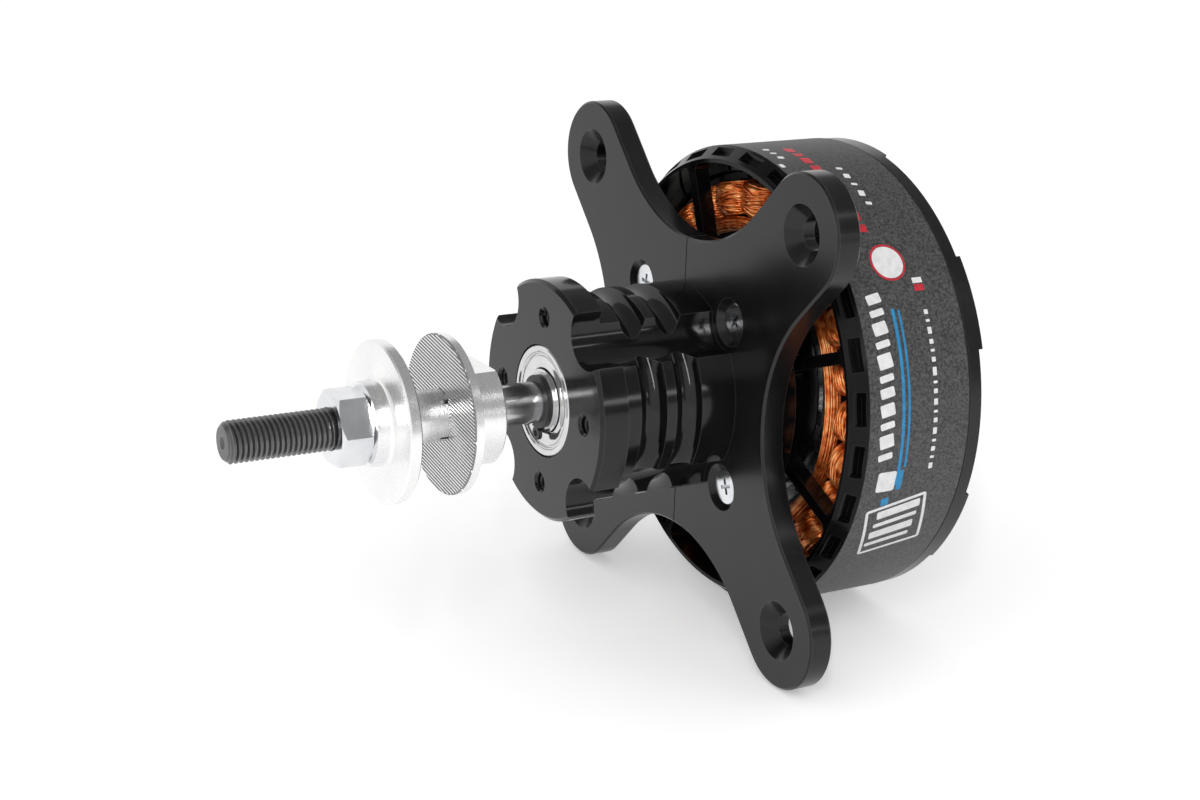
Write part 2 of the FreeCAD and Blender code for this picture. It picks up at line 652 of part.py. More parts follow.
def make_stator_carrier():
    """The wheel on the hub's tail that the laminated core is pressed onto."""
    body = new_body("stator_carrier")
    web_front, web_back = f"({CORE_FRONT} - carrier_web_inset)", f"({CORE_BACK} + carrier_web_inset)"
    turned(body, "wheel", [
        (BELL_SEAT_BACK, "tail_radius + fit_gap"), (BELL_SEAT_BACK, CARRIER_BOSS),
        (web_front, CARRIER_BOSS), (web_front, CARRIER_RIM),
        (CORE_FRONT, CARRIER_RIM), (CORE_FRONT, CORE_SEAT),
        (CORE_BACK, CORE_SEAT), (CORE_BACK, CARRIER_RIM),
        (web_back, CARRIER_RIM), (web_back, CARRIER_BOSS),
        (CORE_BACK, CARRIER_BOSS), (CORE_BACK, "tail_radius + fit_gap")])
    sketch = new_sketch(body, "hole_outline", "YZ_Plane", web_front)
    add_circle(sketch, f"({CARRIER_RIM} - {CARRIER_BOSS}) / 2 - carrier_hole_margin",
               f"({CARRIER_RIM} + {CARRIER_BOSS}) / 2")
    hole = pocket(body, "hole", sketch, "core_length")
    ring_of(body, "holes", [hole], "carrier_holes")


def make_stator_core():
    """The laminated core: a yoke with teeth that widen into shoes at the air gap."""
    body = new_body("stator_core")
    sketch = new_sketch(body, "yoke_outline", "YZ_Plane", CORE_BACK)
    add_circle(sketch, YOKE_RADIUS)
    add_circle(sketch, CORE_INNER)
    raised(body, "yoke", sketch, "core_length")
    root = f"({CORE_INNER} + {YOKE_RADIUS}) / 2"
    sketch = new_sketch(body, "tooth_outline", "YZ_Plane", CORE_BACK)
    middle = f"({SHOE_START} + tooth_shoe_thickness / 2)"
    add_outline(sketch, [(root, "-tooth_width / 2"), (middle, "-tooth_width / 2"),
                         (middle, "tooth_width / 2"), (root, "tooth_width / 2")])
    tooth = raised(body, "tooth", sketch, "core_length")
    sketch = new_sketch(body, "shoe_outline", "YZ_Plane", CORE_BACK)
    add_outline(sketch, *sector(SHOE_START, TOOTH_TIP, "tooth_shoe_angle / 2"))
    shoe = raised(body, "shoe", sketch, "core_length")
    ring_of(body, "teeth", [tooth, shoe], "360 / tooth_pitch")


def sector(low, high, half_angle):
    """Corners and round runs of a ring's sector, centred on the sketch's first axis."""
    corners = [(f"{radius} * cos({sign} * {half_angle})", f"{radius} * sin({sign} * {half_angle})")
               for radius, sign in ((low, -1), (high, -1), (high, 1), (low, 1))]
    return corners, (1, 3)


def make_coils():
    """One coil round every tooth, three groups of them for the three phases."""
    length = "(core_length + 2 * coil_end)"
    inner_half = f"({COIL_INNER} * tan(tooth_pitch / 2) - coil_gap / 2)"
    outer_half = f"({COIL_OUTER} * tan(tooth_pitch / 2) - coil_gap / 2)"
    below = f"({COIL_INNER} - cut_margin)"
    for index, phase in enumerate("abc"):
        body = new_body(f"coils_phase_{phase}", f"{index} * tooth_pitch")
        sketch = new_sketch(body, "winding_outline", "XZ_Plane", f"-{COIL_INNER}")
        add_slot(sketch, CORE_MIDDLE, length, f"(2 * {outer_half})")
        winding = raised(body, "winding", sketch, "coil_depth", back=True)
        sketch = new_sketch(body, "taper_outline", "YZ_Plane", CORE_MIDDLE)
        for side in (1, -1):
            outside = f"{side} * ({outer_half} + cut_margin)"
            inner = f"{side} * {inner_half}"
            add_outline(sketch, [(below, inner), (COIL_INNER, inner), (COIL_OUTER, f"{side} * {outer_half}"),
                                 (COIL_OUTER, outside), (below, outside)])
        taper = pocket(body, "taper", sketch, f"{length} + 2 * cut_margin")
        taper.Midplane = True
        sketch = new_sketch(body, "tooth_space", "XZ_Plane", f"-({COIL_INNER} + coil_depth / 2)")
        half_width, half_length = "(tooth_width / 2 + slot_gap)", "(core_length / 2 + slot_gap)"
        add_outline(sketch, [(f"{CORE_MIDDLE} - {half_length}", f"-{half_width}"),
                             (f"{CORE_MIDDLE} + {half_length}", f"-{half_width}"),
                             (f"{CORE_MIDDLE} + {half_length}", half_width),
                             (f"{CORE_MIDDLE} - {half_length}", half_width)])
        cut = pocket(body, "tooth_cut", sketch, "coil_depth + 2 * cut_margin")
        cut.Midplane = True
        ring_of(body, "coils", [winding, taper, cut], "360 / tooth_pitch / coil_phases")


def add_slot(sketch, middle, length, width):
    """Add a slot with round ends that runs along the sketch's first axis."""
    half = f"(({length} - {width}) / 2)"
    radius, reach, centre = number(f"{width} / 2"), number(half), number(middle)
    arcs = []
    for sign, start in ((1, -math.pi / 2), (-1, math.pi / 2)):
        circle = Part.Circle(FreeCAD.Vector(centre + sign * reach, 0, 0), FreeCAD.Vector(0, 0, 1), radius)
        arcs.append(sketch.addGeometry(Part.ArcOfCircle(circle, start, start + math.pi), False))
    sides = []
    for sign in (1, -1):
        sides.append(sketch.addGeometry(Part.LineSegment(
            FreeCAD.Vector(centre + sign * reach, sign * radius, 0),
            FreeCAD.Vector(centre - sign * reach, sign * radius, 0)), False))
    constrain(sketch, "Tangent", arcs[0], 2, sides[0], 1)
    constrain(sketch, "Tangent", sides[0], 2, arcs[1], 1)
    constrain(sketch, "Tangent", arcs[1], 2, sides[1], 1)
    constrain(sketch, "Tangent", sides[1], 2, arcs[0], 1)
    constrain(sketch, "Radius", arcs[0], f"{width} / 2")
    pin_point(sketch, arcs[0], 3, f"{middle} + {half}", "0")
    pin_point(sketch, arcs[1], 3, f"{middle} - {half}", "0")


def make_winding_bundle():
    """The strands that join the coils, gathered in a ring ahead of the yoke."""
    body = new_body("winding_bundle")
    back, high = f"({CORE_FRONT} + bundle_gap)", f"({COIL_INNER} - bundle_gap)"
    front, low = f"({back} + bundle_width)", f"({high} - bundle_width)"
    turned(body, "bundle", [
        (f"({back} + bundle_chamfer)", low), (f"({front} - bundle_chamfer)", low),
        (front, f"({low} + bundle_chamfer)"), (front, f"({high} - bundle_chamfer)"),
        (f"({front} - bundle_chamfer)", high), (f"({back} + bundle_chamfer)", high),
        (back, f"({high} - bundle_chamfer)"), (back, f"({low} + bundle_chamfer)")])


def make_front_bell():
    """The bell that closes the can towards the mount: ring, spokes and notched rim."""
    body = new_body("front_bell", "rotor_turn")
    turned(body, "ring", [
        (BELL_FACE, BELL_RING_INNER), (BELL_FACE, BELL_RING_OUTER),
        (BELL_SEAT_BACK, BELL_RING_OUTER), (BELL_SEAT_BACK, BELL_RING_INNER)])
    spigot = f"({CAN_FRONT} - bell_spigot)"
    turned(body, "rim", [
        (BELL_FACE, BELL_RIM_INNER), (BELL_FACE, BELL_RIM_NOSE), (RIM_SHOULDER, SKIN),
        (RIM_SHOULDER, "can_radius"), (CAN_FRONT, "can_radius"),
        (CAN_FRONT, SPIGOT_RADIUS), (spigot, SPIGOT_RADIUS), (spigot, BELL_RIM_INNER)])
    sketch = new_sketch(body, "spoke_outline", "YZ_Plane", BELL_FACE)
    inner, outer = f"({BELL_RING_INNER} + bell_ring_wall / 2)", f"({BELL_RIM_INNER} + spoke_sink)"
    add_outline(sketch, [(inner, "-spoke_width / 2"), (outer, "-spoke_width / 2"),
                         (outer, "spoke_width / 2"), (inner, "spoke_width / 2")])
    spoke = raised(body, "spoke", sketch, "spoke_thickness", back=True)
    ring_of(body, "spokes", [spoke], "spokes")
    root_reach = number(f"{BELL_RING_OUTER} + cut_margin")
    softened(body, "spoke_roots", "Fillet", "spoke_inner_fillet",
             lambda edge: along_shaft(edge) and distance_out(edge) < root_reach)
    softened(body, "spoke_ends", "Fillet", "spoke_outer_fillet",
             lambda edge: along_shaft(edge) and abs(distance_out(edge) - number(BELL_RIM_INNER)) < NEAR)
    sketch = new_sketch(body, "notch_outline", "YZ_Plane", BELL_FACE)
    middle = f"({BELL_RIM_NOSE} + {SKIN}) / 2"
    low, high = f"({middle} - notch_width / 2)", f"({middle} + notch_width / 2)"
    add_outline(sketch, [(low, "-notch_length / 2"), (high, "-notch_length / 2"),
                         (high, "notch_length / 2"), (low, "notch_length / 2")])
    notch = pocket(body, "notch", sketch, "notch_depth")
    ring_of(body, "notches", [notch], "magnets")


def make_rotor_ring():
    """The steel can, its magnets and the sleeve of its label."""
    body = new_body("rotor_can", "rotor_turn")
    turned(body, "can", [(CAN_FRONT, CAN_INNER), (CAN_FRONT, "can_radius"),
                         (CAN_BACK, "can_radius"), (CAN_BACK, CAN_INNER)])
    body = new_body("rotor_magnets", "rotor_turn")
    sketch = new_sketch(body, "magnet_outline", "YZ_Plane", f"{CORE_BACK} - magnet_overhang")
    add_outline(sketch, *sector(MAGNET_INNER, MAGNET_OUTER, "magnet_angle / 2"))
    magnet = raised(body, "magnet", sketch, "core_length + 2 * magnet_overhang")
    ring_of(body, "magnets", [magnet], "magnets")
    body = new_body("can_label", "rotor_turn")
    back, low = f"({CAN_BACK} + label_setback)", "(can_radius + fit_gap)"
    turned(body, "sleeve", [(RIM_SHOULDER, low), (RIM_SHOULDER, SKIN), (back, SKIN), (back, low)])


def make_rear_bell():
    """The bell that drives the shaft: boss, six raised arms and rim."""
    body = new_body("rear_bell", "rear_pad_turn")
    spigot, bore = f"({CAN_BACK} + bell_spigot)", "(shaft_radius + fit_gap)"
    turned(body, "disc", [
        (REAR_BEARING_BACK, bore), (REAR_BEARING_BACK, "rear_nose_radius"),
        (REAR_BOSS_FRONT, "rear_nose_radius"), (REAR_BOSS_FRONT, "rear_boss_radius"),
        (CAN_BACK, "rear_boss_radius"), (CAN_BACK, BELL_RIM_INNER),
        (spigot, BELL_RIM_INNER), (spigot, SPIGOT_RADIUS),
        (CAN_BACK, SPIGOT_RADIUS), (CAN_BACK, REAR_RIM_RADIUS),
        (REAR_PAD_BACK, REAR_RIM_RADIUS), (REAR_PAD_BACK, "rear_boss_radius"),
        (REAR_BOSS_BACK, "rear_boss_radius"), (REAR_BOSS_BACK, bore)])
    half_angle = "((360 / rear_arms - rear_pad_angle) / 2)"
    sketch = new_sketch(body, "window_outline", "YZ_Plane", CAN_BACK, "180 / rear_arms")
    add_outline(sketch, *sector("rear_window_inner", REAR_RIM_INNER, half_angle))
    window = pocket(body, "window", sketch, "rear_rim_thickness + rear_pad_height")
    ring_of(body, "windows", [window], "rear_arms")
    softened(body, "window_corners", "Fillet", "rear_window_fillet",
             lambda edge: along_shaft(edge) and number("rear_window_inner - cut_margin") < distance_out(edge)
             < number(f"{REAR_RIM_INNER} + cut_margin"))
    sketch = new_sketch(body, "step_outline", "YZ_Plane", REAR_RIM_BACK, "180 / rear_arms")
    add_outline(sketch, *sector("rear_window_inner", f"({REAR_RIM_RADIUS} + cut_margin)", half_angle))
    step = pocket(body, "step", sketch, "rear_pad_height + rear_rim_thickness")
    ring_of(body, "steps", [step], "rear_arms")
    sketch = new_sketch(body, "grub_hole_outline")
    add_circle(sketch, "grub_radius + fit_gap", f"({REAR_BOSS_BACK} + {REAR_PAD_BACK}) / 2")
    hole = pocket(body, "grub_hole", sketch, "rear_boss_radius + cut_margin", front=True)
    ring_of(body, "grub_holes", [hole], "2", 90)

    body = new_body("bell_grub_screws", "rear_pad_turn")
    sketch = new_sketch(body, "grub_outline", offset="shaft_radius + fit_gap")
    add_circle(sketch, "grub_radius", f"({REAR_BOSS_BACK} + {REAR_PAD_BACK}) / 2")
    grub = raised(body, "grub", sketch, "rear_boss_radius - shaft_radius - grub_inset")
    ring_of(body, "grubs", [grub], "2", 90)


def make_shaft():
    """The ground shaft, its shim and the retaining ring ahead of the front bearing."""
    body = new_body("motor_shaft")
    turned(body, "shaft", [
        (REAR_BOSS_BACK, "0"), (REAR_BOSS_BACK, "shaft_radius - shaft_chamfer"),
        (f"({REAR_BOSS_BACK} + shaft_chamfer)", "shaft_radius"), (SHIM_FRONT, "shaft_radius"),
        (SHIM_FRONT, CIRCLIP_GROOVE), (f"({CIRCLIP_FRONT} + fit_gap)", CIRCLIP_GROOVE),
        (f"({CIRCLIP_FRONT} + fit_gap)", "shaft_radius"), (STUD_BACK, "shaft_radius"), (STUD_BACK, "0")])
    body = new_body("shaft_shim")
    low = "shaft_radius + fit_gap"
    turned(body, "shim", [(HUB_FACE, low), (HUB_FACE, "shim_radius"), (SHIM_FRONT, "shim_radius"),
                          (SHIM_FRONT, low)])
    make_circlip("shaft_circlip", SHIM_FRONT, CIRCLIP_GROOVE, "circlip_turn")
    make_circlip("carrier_circlip", f"({CORE_BACK} - circlip_thickness)", CARRIER_GROOVE, "90")


def make_prop_adapter():
    """What the propeller is clamped with: drive plate, collet, stud, washer and nut."""
    body = new_body("prop_drive_plate")
    low, high = "(shank_radius + fit_gap)", "(cone_radius + fit_gap)"
    turned(body, "plate", [
        ("collar_back_place", high), ("collar_back_place", "collar_radius - plate_chamfer"),
        ("(collar_back_place + plate_chamfer)", "collar_radius"), (PLATE_BACK, "collar_radius"),
        (PLATE_BACK, "plate_radius"), (f"({PLATE_FRONT} - plate_chamfer)", "plate_radius"),
        (PLATE_FRONT, "plate_radius - plate_chamfer"), (PLATE_FRONT, low), (CONE_FRONT, low),
        (COLLET_BACK, high)])
    sketch = new_sketch(body, "flat_outline", "YZ_Plane", PLATE_BACK, "90")
    outside = "collar_radius + cut_margin"
    add_outline(sketch, [("collar_flat", "-collar_radius"), (outside, "-collar_radius"),
                         (outside, "collar_radius"), ("collar_flat", "collar_radius")])
    flat = pocket(body, "flat", sketch, "collar_length")
    ring_of(body, "flats", [flat], "2")

    body = new_body("prop_collet")
    bore = "(shaft_radius + fit_gap)"
    turned(body, "sleeve", [
        (COLLET_BACK, bore), (COLLET_BACK, "cone_radius"), (CONE_FRONT, "shank_radius"),
        (SHANK_FRONT, "shank_radius"), (SHANK_FRONT, bore)])
    sketch = new_sketch(body, "slot_outline", "YZ_Plane", f"{PLATE_FRONT} + collet_slot_reach", "45")
    inside, outside = "shaft_radius / 2", "cone_radius + cut_margin"
    add_outline(sketch, [(inside, "-collet_slot / 2"), (outside, "-collet_slot / 2"),
                         (outside, "collet_slot / 2"), (inside, "collet_slot / 2")])
    slot = pocket(body, "slot", sketch, f"{PLATE_FRONT} + collet_slot_reach - {COLLET_BACK}")
    ring_of(body, "slots", [slot], "collet_slots")

    body = new_body("prop_stud")
    back, relief_back = f"({STUD_BACK} + fit_gap)", f"({SHANK_FRONT} - stud_relief_length / 2)"
    relief_front, relief = f"({relief_back} + stud_relief_length)", "(stud_radius - stud_relief_depth)"
    turned(body, "stud", [
        (back, "0"), (back, "shaft_radius"), (relief_back, "shaft_radius"), (relief_back, relief),
        (relief_front, relief), (relief_front, "stud_radius"),
        ("(stud_tip_place - stud_chamfer)", "stud_radius"), ("stud_tip_place", "stud_radius - stud_chamfer"),
        ("stud_tip_place", "centre_drill_radius"), ("(stud_tip_place - centre_drill_depth)", "0")])

    body = new_body("prop_washer")
    bore = "(stud_radius + thread_gap)"
    turned(body, "washer", [
        (SHANK_FRONT, bore), (SHANK_FRONT, "washer_radius - washer_chamfer"),
        (f"({SHANK_FRONT} + washer_chamfer)", "washer_radius"),
        (f"({WASHER_FRONT} - washer_chamfer)", "washer_radius"),
        (WASHER_FRONT, "washer_radius - washer_chamfer"), (WASHER_FRONT, "boss_radius"),
        (BOSS_FRONT, "boss_radius"), (BOSS_FRONT, bore)])
    softened(body, "boss_root", "Fillet", "boss_fillet",
             lambda edge: circle_of(edge, "boss_radius") and in_plane(edge, WASHER_FRONT))

    body = new_body("prop_nut")
    corner, flat = "(nut_across_flats / sqrt(3))", "(nut_across_flats / 2)"
    sketch = new_sketch(body, "nut_outline", "YZ_Plane", BOSS_FRONT)
    add_outline(sketch, [(corner, "0"), (f"{corner} / 2", flat), (f"-{corner} / 2", flat),
                         (f"-{corner}", "0"), (f"-{corner} / 2", f"-{flat}"), (f"{corner} / 2", f"-{flat}")])
    add_circle(sketch, "stud_radius + thread_gap")
    raised(body, "nut", sketch, "nut_thickness")
    outside = f"({corner} + cut_margin)"
    for name, face, inward in (("front_chamfer", NUT_FRONT, "-"), ("back_chamfer", BOSS_FRONT, "+")):
        foot = f"({face} {inward} nut_chamfer)"
        turned(body, name, [(face, flat), (face, outside), (foot, outside), (foot, corner)], "Groove")


def check_document():
    """Stop when an object failed, or a sub-part is missing, empty or not a valid solid."""
    document.recompute()
    for item in document.Objects:
        if "Invalid" in item.State or "Error" in item.State:
            raise RuntimeError(f"{item.Name} failed: {item.State}")
    for body in NODES:
        if body.Shape.isNull() or not body.Shape.Solids or not body.Shape.isValid():
            raise RuntimeError(f"{body.Label} has no valid solid")


def export_parts():
    """Write every sub-part to its own file."""
    os.makedirs("parts", exist_ok=True)
    for body in NODES:
        body.Shape.exportStep(os.path.join("parts", f"{body.Label}.step"))


make_hub()
make_cross_half("mount_cross_right", 1)
make_cross_half("mount_cross_left", -1)
make_cross_screws()
make_bearings()
make_stator_carrier()
make_stator_core()
make_coils()
make_winding_bundle()
make_front_bell()
make_rotor_ring()
make_rear_bell()
make_shaft()
make_prop_adapter()
check_document()
export_parts()
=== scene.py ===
"""A brushless model aircraft motor: its finishes, wound coils, threads and print, in a studio.

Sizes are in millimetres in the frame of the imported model: X runs along the shaft towards the
propeller and Z points up. Meshes are made in metres.
"""

import logging
import math
import random
from dataclasses import dataclass, field
from enum import Enum
from typing import Any, Callable

import bmesh
import bpy
from mathutils import Matrix, Vector


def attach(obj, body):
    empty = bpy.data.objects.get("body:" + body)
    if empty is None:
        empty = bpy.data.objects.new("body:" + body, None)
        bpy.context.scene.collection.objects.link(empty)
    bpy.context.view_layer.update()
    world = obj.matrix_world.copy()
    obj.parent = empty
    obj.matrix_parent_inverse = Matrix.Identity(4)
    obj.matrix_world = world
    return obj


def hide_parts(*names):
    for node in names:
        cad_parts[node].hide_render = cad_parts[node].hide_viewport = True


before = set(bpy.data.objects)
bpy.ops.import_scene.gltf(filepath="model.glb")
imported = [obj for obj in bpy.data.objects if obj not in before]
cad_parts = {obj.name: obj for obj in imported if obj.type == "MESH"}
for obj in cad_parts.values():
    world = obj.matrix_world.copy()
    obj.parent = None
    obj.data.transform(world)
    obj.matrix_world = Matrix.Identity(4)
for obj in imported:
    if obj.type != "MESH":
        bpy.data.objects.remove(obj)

MM = 0.001
FULL_TURN = 2 * math.pi
# In metres: corners this near each other are merged, and this near a cut they lie on it
MERGE = 1e-6
ON_CUT = 1e-8
# In millimetres: how near a face or point is to where it is looked for
NEAR = 0.01
SAME_POINT = 1e-4
# In degrees: screws and tapped holes stand this far apart round the shaft
QUARTER = 90
# Blender's wave texture runs through this many radians in one unit
WAVE_RADIANS = 20
LOG = logging.getLogger("motor")
Pair = tuple[float, float]
Triple = tuple[float, float, float]
Object = bpy.types.Object
Socket = bpy.types.NodeSocket
Tree = bpy.types.NodeTree


class Part(Enum):
    """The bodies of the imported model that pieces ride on."""

    STATOR = "stator"
    ROTOR = "rotor"


def close_mesh() -> None:
    """Leave edit mode."""
    bpy.ops.object.mode_set(mode="OBJECT")


def deselect() -> None:
    """Leave edit mode and select nothing."""
    if bpy.context.object is not None and bpy.context.object.mode != "OBJECT":
        close_mesh()
    bpy.ops.object.select_all(action="DESELECT")


def hold(piece: Object, *others: Object) -> None:
    """Select a piece, and others with it, and make the piece active."""
    deselect()
    for item in (piece, *others):
        item.select_set(True)
    bpy.context.view_layer.objects.active = piece


def select_mesh(wanted: bool = True) -> None:
    """Select all of the open mesh, or none of it."""
    bpy.ops.mesh.select_all(action="SELECT" if wanted else "DESELECT")


def open_mesh(piece: Object, kind: str = "FACE") -> None:
    """Enter edit mode on a piece for one kind (VERT, EDGE or FACE), with nothing selected."""
    hold(piece)
    bpy.ops.object.mode_set(mode="EDIT")
    bpy.ops.mesh.select_mode(type=kind)
    select_mesh(False)


def pick(piece: Object, kind: str, wanted: Callable[[Vector], bool]) -> None:
    """Select, in edit mode, only what has its middle in a wanted place.

    Args:
        piece: the object in edit mode.
        kind: VERT, EDGE or FACE.
        wanted: tells from a middle point in millimetres whether to select.
    """
    bpy.ops.mesh.select_mode(type=kind)
    select_mesh(False)
    mesh = bmesh.from_edit_mesh(piece.data)
    for item in {"VERT": mesh.verts, "EDGE": mesh.edges, "FACE": mesh.faces}[kind]:
        corners = [item.co] if kind == "VERT" else [v.co for v in item.verts]
        if wanted(sum(corners, Vector()) / len(corners) / MM):
            item.select_set(True)
    bmesh.update_edit_mesh(piece.data)


def settle(piece: Object) -> None:
    """Put the piece's place, turn and scale into its mesh."""
    hold(piece)
    bpy.ops.object.transform_apply(location=True, rotation=True, scale=True)


def small_plane(name: str) -> Object:
    """Make a square plane with sides of 1 mm at the origin, open and all selected."""
    deselect()
    bpy.ops.mesh.primitive_plane_add(size=MM)
    piece = bpy.context.object
    piece.name = name
    open_mesh(piece, "VERT")
    select_mesh()
    return piece


def block(size: Triple, at: Vector | tuple) -> Object:
    """Make a block, open and all selected.

    Args:
        size: its three sides in millimetres.
        at: its middle in metres, which becomes the mesh's own origin.

    Returns:
        The block, in edit mode.
    """
    deselect()
    bpy.ops.mesh.primitive_cube_add(size=MM, location=at)
    piece = bpy.context.object
    open_mesh(piece)
    select_mesh()
    bpy.ops.transform.resize(value=size, center_override=at)
    return piece


def draw_line(name: str, points: list[Pair], closed: bool) -> Object:
    """Draw a line of (place, radius) points by extruding one corner after another.

    Args:
        name: the new piece's name.
        points: places along the shaft and distances from it, in millimetres.
        closed: whether the last point is joined to the first.

    Returns:
        The piece, in edit mode, with everything selected.
    """
    piece = small_plane(name)
    bpy.ops.mesh.merge(type="CENTER")
    corners = [Vector((place, 0, radius)) * MM for place, radius in points]
    bpy.ops.transform.translate(value=corners[0])
    for before, after in zip(corners, corners[1:]):
        bpy.ops.mesh.extrude_vertices_move(TRANSFORM_OT_translate={"value": after - before})
    if closed:
        ends = (corners[0] / MM, corners[-1] / MM)
        pick(piece, "VERT", lambda p: min((p - end).length for end in ends) < SAME_POINT)
        bpy.ops.mesh.edge_face_add()
    select_mesh()
    return piece


def lathe(name: str, outline: list[Pair], steps: int = 96) -> Object:
    """Turn an outline round the shaft's line, as on a lathe.

    Args:
        name: the new piece's name.
        outline: (place, radius) points in millimetres, in order round the section.
        steps: flats round the turn.

    Returns:
        The turned piece, closed, with its faces outwards.
    """
    on_shaft = outline[0][1] == 0 and outline[-1][1] == 0
    piece = draw_line(name, outline, closed=not on_shaft)
    bpy.ops.mesh.spin(steps=steps, angle=FULL_TURN, center=(0, 0, 0), axis=(1, 0, 0))
    tidy_mesh()
    return piece


def tidy_mesh() -> None:
    """Merge the open mesh's doubles, turn its faces outwards and leave edit mode."""
    select_mesh()
    bpy.ops.mesh.remove_doubles(threshold=MERGE)
    bpy.ops.mesh.normals_make_consistent(inside=False)
    close_mesh()


def apply_modifier(piece: Object, kind: str, **settings: Any) -> None:
    """Add a modifier with its settings to a piece and apply it."""
    hold(piece)
    modifier = piece.modifiers.new(kind.lower(), kind)
    for key, value in settings.items():
        setattr(modifier, key, value)
    bpy.ops.object.modifier_apply(modifier=modifier.name)


def carve(piece: Object, tool: Object, how: str = "DIFFERENCE") -> None:
    """Cut a piece with a tool, or join or intersect them, and throw the tool away."""
    apply_modifier(piece, "BOOLEAN", operation=how, solver="EXACT", object=tool)
    bpy.data.objects.remove(tool)


def turned_copy(piece: Object, name: str, angle: float) -> Object:
    """Copy a piece and turn the copy's mesh round the shaft's line, by an angle in radians."""
    hold(piece)
    bpy.ops.object.duplicate(linked=False)
    copy = bpy.context.object
    copy.name = name
    copy.data.transform(Matrix.Rotation(angle, 4, "X"))
    return copy


def join(name: str, pieces: list[Object]) -> Object:
    """Join pieces to one object with a name."""
    hold(*pieces)
    bpy.ops.object.join()
    pieces[0].name = name
    return pieces[0]


def wires(name: str, outlines: Object, thickness: float) -> Object:
    """Turn a mesh of bare edge loops into round wires.

    Args:
        name: the new piece's name.
        outlines: the object that holds the loops.
        thickness: the wire's diameter in millimetres.

    Returns:
        The wires as one mesh.
    """
    hold(outlines)
    bpy.ops.object.convert(target="CURVE")
    outlines.data.bevel_depth = thickness / 2 * MM
    outlines.data.bevel_resolution = 1
    bpy.ops.object.convert(target="MESH")
    outlines.name = name
    return outlines


def looked_at(tree: Tree) -> Socket:
    """Tell, in a tree, what is seen: 1 for the eye, gloss and glass, 0 for soft light."""
    rays = add_node(tree, "LightPath").outputs
    straight = maths(tree, "MAXIMUM", rays["Is Camera Ray"], rays["Is Glossy Ray"])
    return maths(tree, "MAXIMUM", straight, rays["Is Transmission Ray"])


def linear(code: str) -> tuple[float, float, float, float]:
    """Turn an sRGB hex colour to linear values."""
    parts = [int(code[i:i + 2], 16) / 255 for i in (0, 2, 4)]
    return (*[p / 12.92 if p <= 0.04045 else ((p + 0.055) / 1.055) ** 2.4 for p in parts], 1.0)


def per_metre(size: float) -> float:
    """Turn a pattern's size in millimetres to a texture scale on metres."""
    return 1 / (size * MM)


def add_node(tree: Tree, kind: str, inputs: dict | None = None, **settings: Any) -> bpy.types.Node:
    """Add a shader node with its settings, values and links.

    Args:
        tree: the material's or world's tree.
        kind: the node's type without its ShaderNode prefix.
        inputs: values or sockets by input name or number.
        settings: the node's own properties.

    Returns:
        The new node.
    """
    node = tree.nodes.new("ShaderNode" + kind)
    for key, value in settings.items():
        setattr(node, key, value)
    for key, value in (inputs or {}).items():
        if isinstance(value, bpy.types.NodeSocket):
            tree.links.new(value, node.inputs[key])
        else:
            node.inputs[key].default_value = value
    return node


def maths(tree: Tree, operation: str, *values: Any) -> Socket:
    """Add a math node for values or sockets and give its result."""
    return add_node(tree, "Math", dict(enumerate(values)), operation=operation).outputs[0]


def noise(tree: Tree, place: Socket, size: float, detail: float) -> Socket:
    """Give soft noise from 0 to 1, with spots of a size in millimetres."""
    return add_node(tree, "TexNoise", {
        "Vector": place, "Scale": per_metre(size), "Detail": detail}).outputs[0]


def blend(tree: Tree, share: Socket, first: Any, second: Any) -> Socket:
    """Mix two colours: the first where the share is 0, the second where it is 1."""
    return add_node(tree, "Mix", {0: share, 6: first, 7: second}, data_type="RGBA").outputs[2]


